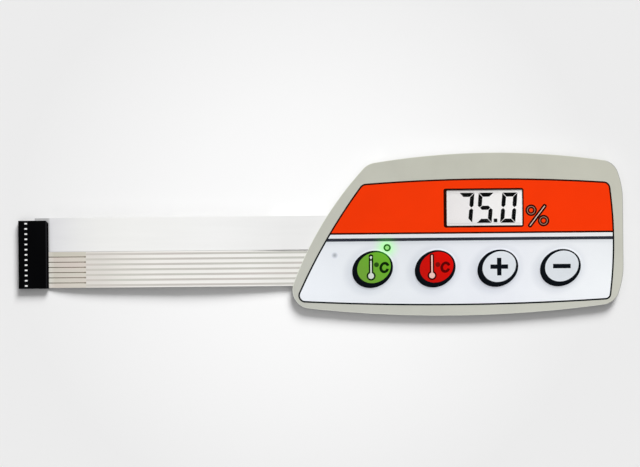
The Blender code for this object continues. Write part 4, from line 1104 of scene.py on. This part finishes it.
def cut_film(name):
    """The overlay's own film, which shows at its cut edge, with painted shade that darkens it along the
    right side.
    """
    material, tree, shader, places = new_finish(name, 0.35, 0.3)
    cloud, fine = noise(tree, places, 22), noise(tree, places, 0.5)
    start = window_centre()[0] + SHADED_EDGE_PLACE
    side = part_of(tree, places, "X", start, start + SHADED_EDGE_FADE)
    tone = mixed(tree, side, mottled(tree, cloud, rgb(222, 224, 214), 0.02), rgb(150, 150, 145))
    coat(tree, shader, tone, ((fine, 0.004),), (fine, 0.3, 0.42))
    return material


def display_print():
    """The display's pale ground and its dark bars, just over the front polariser."""
    ground = ground_film("display_ground")
    dark = film("display_dark", rgb(7, 8, 8), drift=0.1, shine=0.02, roughness=0.5)
    low = roof_of("lcd_front_polariser")
    (x, y), dx, dy = window_centre(), WINDOW_LENGTH / 2, WINDOW_HEIGHT / 2
    points, by_zone = triangulated(oblong(x - dx - GROUND_SPARE, y - dy - GROUND_SPARE,
                                          x + dx - GROUND_RIM, y + dy + GROUND_SPARE))
    slab("display_ground", points, by_zone[0], level(low + BOND), GROUND_THICKNESS, ground)
    low += BOND + GROUND_THICKNESS + BOND
    for number, (shift, bars) in enumerate(zip(DIGIT_PLACES, DIGIT_SEGMENTS), 1):
        for name in bars:
            loop = segment(name, moved(window_centre(), shift))
            points, by_zone = triangulated(loop)
            slab(f"digit_{number}_{name}", points, by_zone[0], level(low), BAR_THICKNESS, dark)
    points, by_zone = triangulated(block(moved(window_centre(), POINT_PLACE), POINT_SIZE, POINT_SIZE))
    slab("digit_point", points, by_zone[0], level(low), BAR_THICKNESS, dark)


# The tail

def tail_arch(start_level):
    """The underside of a tail film that settles beside the other one and arches over to the connector."""
    lower = roof_of("plate_adhesive") + BOND
    fall = floor_of("lower_circuit") - lower
    step = lower - start_level

    def arch(x, _=0.0):
        share = min(max((TAIL_START - x) / TAIL_LENGTH, 0.0), 1.0)
        beside = min(share / TAIL_MERGE, 1.0)
        bend = 2 * share - 1
        hump = (1 - bend * bend) ** TAIL_ROUNDNESS if bend < 0 else 1 - bend ** TAIL_SPRING
        return start_level + step * eased(beside) + fall * eased(share) + TAIL_RISE * hump

    return arch


def eased(share):
    """A share from 0 to 1 with a slow start and a slow end."""
    return share * share * (3 - 2 * share)


def tail_stations():
    """The places along the tail where the film bends, from the panel to the connector."""
    return [TAIL_START - TAIL_LENGTH * n / TAIL_STATIONS for n in range(TAIL_STATIONS + 1)]


def tail_outline(low, high):
    """The panel's outline with a tail strip between two heights that runs into the connector."""
    outline = panel_outline()
    centre = window_centre()[0]
    kept = [point for point in outline if not (point[0] < centre and low <= point[1] <= high)]
    root = next(n for n, point in enumerate(kept) if point[0] < centre and point[1] < low
                and kept[n - 1][1] > high)
    stations = tail_stations()
    strip = [(slant_at(outline, high), high), *[(x, high) for x in stations], (FILM_END, high),
             (FILM_END, low), *[(x, low) for x in reversed(stations)], (slant_at(outline, low), low)]
    return kept[:root] + strip + kept[root:]


def slant_at(outline, height):
    """The X of the panel's slanted left side at a height."""
    centre = window_centre()[0]
    for n, point in enumerate(outline):
        before = outline[n - 1]
        if before[1] >= height > point[1] and point[0] < centre:
            share = (before[1] - height) / (before[1] - point[1])
            return before[0] + share * (point[0] - before[0])
    raise ValueError("the tail is taller than the panel's side")


def film_slits(numbers):
    """The slits that the crimped clips of these positions pass through."""
    middle = FILM_END + CRIMP_END_MARGIN + CRIMP_LENGTH / 2
    slits = []
    for n in numbers:
        for side in (-1, 1):
            height = position_height(n) + side * (CRIMP_WIDTH - STRIP_THICKNESS) / 2
            slits.append(block((middle, height), CRIMP_LENGTH + 2 * SLIT_CLEARANCE,
                               STRIP_THICKNESS + 2 * SLIT_CLEARANCE))
    return slits


def circuit(name, low, high, numbers, arch, finish):
    """A circuit film with its half of the tail."""
    opening = cell_rectangle(GLASS_MARGIN + CELL_CLEARANCE, GLASS_LEDGE)
    points, by_zone = triangulated(tail_outline(low, high), holes=[opening, *film_slits(numbers)],
                                   seams=[((x, low), (x, high)) for x in tail_stations()])
    piece = slab(f"{name}_film", points, by_zone[0], arch, CIRCUIT_THICKNESS, finish)
    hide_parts(name)


def strip_tree():
    """Geometry nodes that sweep a flat strip along a line and repeat it row by row towards -Y."""
    tree = bpy.data.node_groups.new("strips_along_tail", "GeometryNodeTree")
    tree.is_modifier = True
    for name, kind in (("Line", "Geometry"), ("Rows", "Int"), ("Pitch", "Float"), ("Width", "Float"),
                       ("Thickness", "Float"), ("Finish", "Material")):
        tree.interface.new_socket(name, in_out="INPUT", socket_type=f"NodeSocket{kind}")
    tree.interface.new_socket("Strips", in_out="OUTPUT", socket_type="NodeSocketGeometry")
    made = {}
    for name, kind in (("given", "NodeGroupInput"), ("curve", "GeometryNodeMeshToCurve"),
                       ("upright", "GeometryNodeSetCurveNormal"), ("sweep", "GeometryNodeCurveToMesh"),
                       ("section", "GeometryNodeCurvePrimitiveQuadrilateral"), ("down", "ShaderNodeMath"),
                       ("step", "ShaderNodeCombineXYZ"), ("rows", "GeometryNodeMeshLine"),
                       ("copies", "GeometryNodeInstanceOnPoints"), ("real", "GeometryNodeRealizeInstances"),
                       ("painted", "GeometryNodeSetMaterial"), ("result", "NodeGroupOutput")):
        made[name] = tree.nodes.new(kind)
    made["upright"].mode = "Z_UP"
    made["down"].operation = "MULTIPLY"
    made["down"].inputs[1].default_value = -1.0
    made["sweep"].inputs["Fill Caps"].default_value = True
    for source, output, target, socket in (
            ("given", "Line", "curve", "Mesh"), ("curve", "Curve", "upright", "Curve"),
            ("upright", "Curve", "sweep", "Curve"), ("given", "Width", "section", "Width"),
            ("given", "Thickness", "section", "Height"), ("section", "Curve", "sweep", "Profile Curve"),
            ("given", "Pitch", "down", 0), ("down", 0, "step", "Y"), ("given", "Rows", "rows", "Count"),
            ("step", 0, "rows", "Offset"), ("rows", "Mesh", "copies", "Points"),
            ("sweep", "Mesh", "copies", "Instance"), ("copies", "Instances", "real", "Geometry"),
            ("real", "Geometry", "painted", "Geometry"), ("given", "Finish", "painted", "Material"),
            ("painted", "Geometry", "result", "Strips")):
        tree.links.new(made[source].outputs[output], made[target].inputs[socket])
    return tree


def strips(name, tree, run, line_height, first_row, rows, width, thickness, finish):
    """Rows of flat strips that follow the tail between two places, made plain when done."""
    start, end = run
    places = [end, *[x for x in tail_stations() if start < x < end], start]
    mesh = bmesh.new()
    line = [mesh.verts.new((x * MM, first_row * MM, line_height(x) * MM)) for x in places]
    for before, after in zip(line, line[1:]):
        mesh.edges.new((before, after))
    data = bpy.data.meshes.new(name + "_line")
    mesh.to_mesh(data)
    mesh.free()
    guide = bpy.data.objects.new(name + "_line", data)
    bpy.context.scene.collection.objects.link(guide)
    modifier = guide.modifiers.new("strips", "NODES")
    modifier.node_group = tree
    sockets = {item.name: item.identifier for item in tree.interface.items_tree if item.in_out == "INPUT"}
    values = {"Rows": rows, "Pitch": PITCH * MM, "Width": width * MM, "Thickness": thickness * MM,
              "Finish": finish}
    for key, value in values.items():
        modifier[sockets[key]] = value
    evaluated = guide.evaluated_get(bpy.context.evaluated_depsgraph_get())
    plain = bpy.data.meshes.new_from_object(evaluated)
    bpy.data.objects.remove(guide)
    mesh = bmesh.new()
    mesh.from_mesh(plain)
    bmesh.ops.remove_doubles(mesh, verts=mesh.verts, dist=SAME_PLACE)
    bmesh.ops.recalc_face_normals(mesh, faces=mesh.faces)
    mesh.to_mesh(plain)
    mesh.free()
    return dress(name, plain, finish)


def tail():
    """Both circuit films, the tracks and fingers on them, and dark strips painted as the shade in the slits
    between the fingers.
    """
    top = position_height(0) + TAIL_TOP_MARGIN
    base = position_height(POSITIONS - 1) - TAIL_BASE_MARGIN
    split = position_height(UPPER_POSITIONS - 0.5)
    upper = tail_arch(roof_of("circuit_spacer") + BOND)
    lower = tail_arch(roof_of("plate_adhesive") + BOND)
    white, cream = tail_film("upper_tail", WHITE_ROWS), tail_film("lower_tail", CREAM_ROWS)
    circuit("upper_circuit", split + TAIL_SPLIT / 2, top, range(UPPER_POSITIONS), upper, white)
    circuit("lower_circuit", base, split - TAIL_SPLIT / 2, range(UPPER_POSITIONS, POSITIONS), lower, cream)
    silver = tail_print_and_slit_shade("track_silver", SILVER_ROWS)
    beige = tail_print_and_slit_shade("finger_beige", BEIGE_ROWS, 0.02)
    olive = tail_print_and_slit_shade("finger_olive", OLIVE_ROWS, 0.02)
    # Dark strips painted as the shade in the slits between the fingers
    dark = tail_print_and_slit_shade("slit_shade", SLIT_SHADE_ROWS, 0.05)
    tree = strip_tree()
    finger_end = HOUSING_REAR + FINGER_LENGTH
    rows = POSITIONS - UPPER_POSITIONS
    first = position_height(UPPER_POSITIONS)

    def over(arch, gap):
        return lambda x: arch(x) + CIRCUIT_THICKNESS + gap

    def under(arch, gap):
        return lambda x: arch(x) - gap

    track_run = (finger_end, TAIL_START + TRACE_RUN_IN)
    gap = TRACE_THICKNESS / 2
    strips("lower_tracks", tree, track_run, over(lower, gap), first, rows, TRACE_WIDTH, TRACE_THICKNESS,
           silver)
    strips("upper_tracks", tree, track_run, under(upper, gap), position_height(0), UPPER_POSITIONS,
           TRACE_WIDTH, TRACE_THICKNESS, silver)
    finger_run = (HOUSING_REAR - FINGER_RUN_IN, finger_end)
    strips("finger_first", tree, finger_run, over(lower, FINGER_THICKNESS / 2), first, 1, FINGER_WIDTH,
           FINGER_THICKNESS, olive)
    strips("fingers", tree, finger_run, over(lower, FINGER_THICKNESS / 2), first - PITCH, rows - 1,
           FINGER_WIDTH, FINGER_THICKNESS, beige)
    strips("slit_lines", tree, finger_run, over(lower, gap), first - PITCH / 2, rows - 1, SLIT_LINE_WIDTH,
           TRACE_THICKNESS, dark)
    strips("slit_ends", tree, (finger_end - SLIT_END_LENGTH, finger_end), over(lower, FINGER_THICKNESS),
           first - PITCH / 2, rows - 1, SLIT_END_WIDTH, FINGER_THICKNESS, dark)


def ordered(mesh, name):
    """A mesh with its triangles in a fixed order, because a bevel leaves them in a new one each run."""
    triangles = []
    for face in mesh.faces:
        corners = [vert.co[:] for vert in face.verts]
        first = corners.index(min(corners))
        triangles.append(corners[first:] + corners[:first])
    mesh.free()
    triangles.sort()
    points = sorted({corner for triangle in triangles for corner in triangle})
    numbers = {point: n for n, point in enumerate(points)}
    data = bpy.data.meshes.new(name)
    data.from_pydata(points, [], [[numbers[corner] for corner in triangle] for triangle in triangles])
    return data


def connector():
    """The housing with its moulded edges eased."""
    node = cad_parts["connector_housing"]
    mesh = bmesh.new()
    mesh.from_mesh(node.data)
    bmesh.ops.remove_doubles(mesh, verts=mesh.verts, dist=SAME_PLACE)
    bmesh.ops.dissolve_limit(mesh, angle_limit=FLAT_BELOW, verts=mesh.verts, edges=mesh.edges)
    sharp = [edge for edge in mesh.edges
             if len(edge.link_faces) == 2 and edge.calc_face_angle(0.0) > HOUSING_CORNER]
    bmesh.ops.bevel(mesh, geom=sharp, offset=HOUSING_EDGE * MM, offset_type="OFFSET", segments=2,
                    profile=0.5, affect="EDGES", clamp_overlap=True)
    bmesh.ops.triangulate(mesh, faces=mesh.faces)
    data = ordered(mesh, "housing_shell")
    piece = dress("housing_shell", data, housing_plastic("housing_black"))
    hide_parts("connector_housing")


def repaint():
    """Gives every solid that stays in view its own finish."""
    adhesive = film("adhesive_clear", rgb(186, 181, 164), roughness=0.3)
    spacer = film("spacer_milky", rgb(206, 207, 208), roughness=0.45)
    steel = strip_metal("dome_steel", rgb(204, 202, 198), 0.28)
    tin = contact_tin("contact_tin")
    finishes = {
        "overlay_adhesive": adhesive, "plate_adhesive": adhesive, "rear_adhesive": adhesive,
        "dome_spacer": spacer, "circuit_spacer": spacer,
        "release_liner": kraft_paper("liner_kraft"),
        "backing_plate": moulded("plate_grey", rgb(118, 119, 116), 0.3),
        "status_led": lens("lamp_lit", rgb(150, 255, 130), 1.5),
        "spare_led": lens("lamp_dark", rgb(214, 216, 210), 0.0),
        "lcd_front_polariser": film("polariser_front", rgb(251, 250, 249), drift=0.01, shine=0.15),
        "lcd_front_glass": clear_sheet("glass_front", 1.45, 0.03),
        "lcd_rear_glass": clear_sheet("glass_rear", 1.45, 0.03),
        "lcd_rear_polariser": film("polariser_rear", rgb(226, 227, 226), roughness=0.3, shine=0.5),
        "lcd_tape": film("tape_black", rgb(24, 24, 24), drift=0.1, roughness=0.6),
    }
    for name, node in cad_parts.items():
        finish = finishes.get(name)
        if name.startswith("snap_dome"):
            finish = steel
        elif name.startswith("contact_"):
            finish = tin
        if finish:
            for slot in node.material_slots:
                slot.material = finish


# The studio

def studio():
    """The floor, the light and the camera."""
    mesh = bmesh.new()
    bmesh.ops.create_circle(mesh, cap_ends=True, radius=FLOOR_RADIUS * MM, segments=96)
    data = bpy.data.meshes.new("floor")
    mesh.to_mesh(data)
    mesh.free()
    floor = bpy.data.objects.new("floor", data)
    bpy.context.scene.collection.objects.link(floor)
    data.materials.append(floor_finish())
    soft_light("key_light", SUN_FROM, SUN_SHARE, SUN_SPREAD)
    soft_light("overhead_light", (0, 0, 1), OVERHEAD_SHARE, OVERHEAD_SPREAD)
    world_light()
    eye = bpy.data.cameras.new("camera")
    eye.sensor_width = SENSOR_WIDTH
    eye.lens = SENSOR_WIDTH * CAMERA_DISTANCE / FRAME_WIDTH
    camera = bpy.data.objects.new("camera", eye)
    camera.location = Vector(CAMERA_AIM) * MM + Vector((0, 0, CAMERA_DISTANCE * MM))
    camera.rotation_euler = (0, 0, CAMERA_TURN)
    bpy.context.scene.collection.objects.link(camera)
    bpy.context.scene.camera = camera
    bpy.context.scene.view_settings.view_transform = "Standard"


def soft_light(name, source, share, spread):
    """A broad light that gives level surfaces its share of the light."""
    lamp = bpy.data.lights.new(name, "SUN")
    direction = Vector(source).normalized()
    lamp.energy = share * math.pi / direction.z
    lamp.angle = spread
    light = bpy.data.objects.new(name, lamp)
    light.rotation_euler = direction.to_track_quat("Z", "Y").to_euler()
    bpy.context.scene.collection.objects.link(light)


def floor_finish():
    """A pale floor with a painted pool of light, whitest round the object, and painted shade just beyond the
    edges that face the light.
    """
    material, tree, shader, places = new_finish("floor_pale", 1.0, 0.0)
    gap = distance(tree, places, (*FLOOR_CENTRE, 0.0))
    share = spanned(tree, gap, 0.0, FLOOR_BRIGHT_REACH * MM)
    tone = graded(tree, share, ((0.0, 254), (0.45, 248), (1.0, 236)))
    across, up = along(tree, places, "X"), along(tree, places, "Y")
    for left, right, edge, dull in FLOOR_SHADE_EDGES:
        gap = maths(tree, "ABSOLUTE", maths(tree, "SUBTRACT", up, edge * MM))
        share = spanned(tree, gap, 0.0, FLOOR_SHADE_REACH * MM, 1.0, 0.0, True)
        for end, inward in ((left, FLOOR_SHADE_REACH), (right, -FLOOR_SHADE_REACH)):
            reached = spanned(tree, across, end * MM, (end + inward) * MM, smooth=True)
            share = maths(tree, "MULTIPLY", share, reached)
        tone = times(tree, tone, mixed(tree, share, rgb(255), rgb(dull)))
    tree.links.new(tone, shader.inputs["Base Color"])
    return material


def world_light():
    """An even fill, which cameras and mirrors see as a pale backdrop."""
    world = bpy.data.worlds.new("fill")
    bpy.context.scene.world = world
    world.use_nodes = True
    tree = world.node_tree
    path = add(tree, "LightPath")
    seen = path.outputs["Is Camera Ray"]
    for output in ("Is Glossy Ray", "Is Transmission Ray"):
        seen = maths(tree, "MAXIMUM", seen, path.outputs[output])
    strength = spanned(tree, seen, 0.0, 1.0, 1 - SUN_SHARE - OVERHEAD_SHARE, BACKDROP_LEVEL)
    tree.links.new(strength, tree.nodes["Background"].inputs["Strength"])
    tree.nodes["Background"].inputs["Color"].default_value = rgb(255)


overlay()
display_print()
tail()
connector()
repaint()
studio()
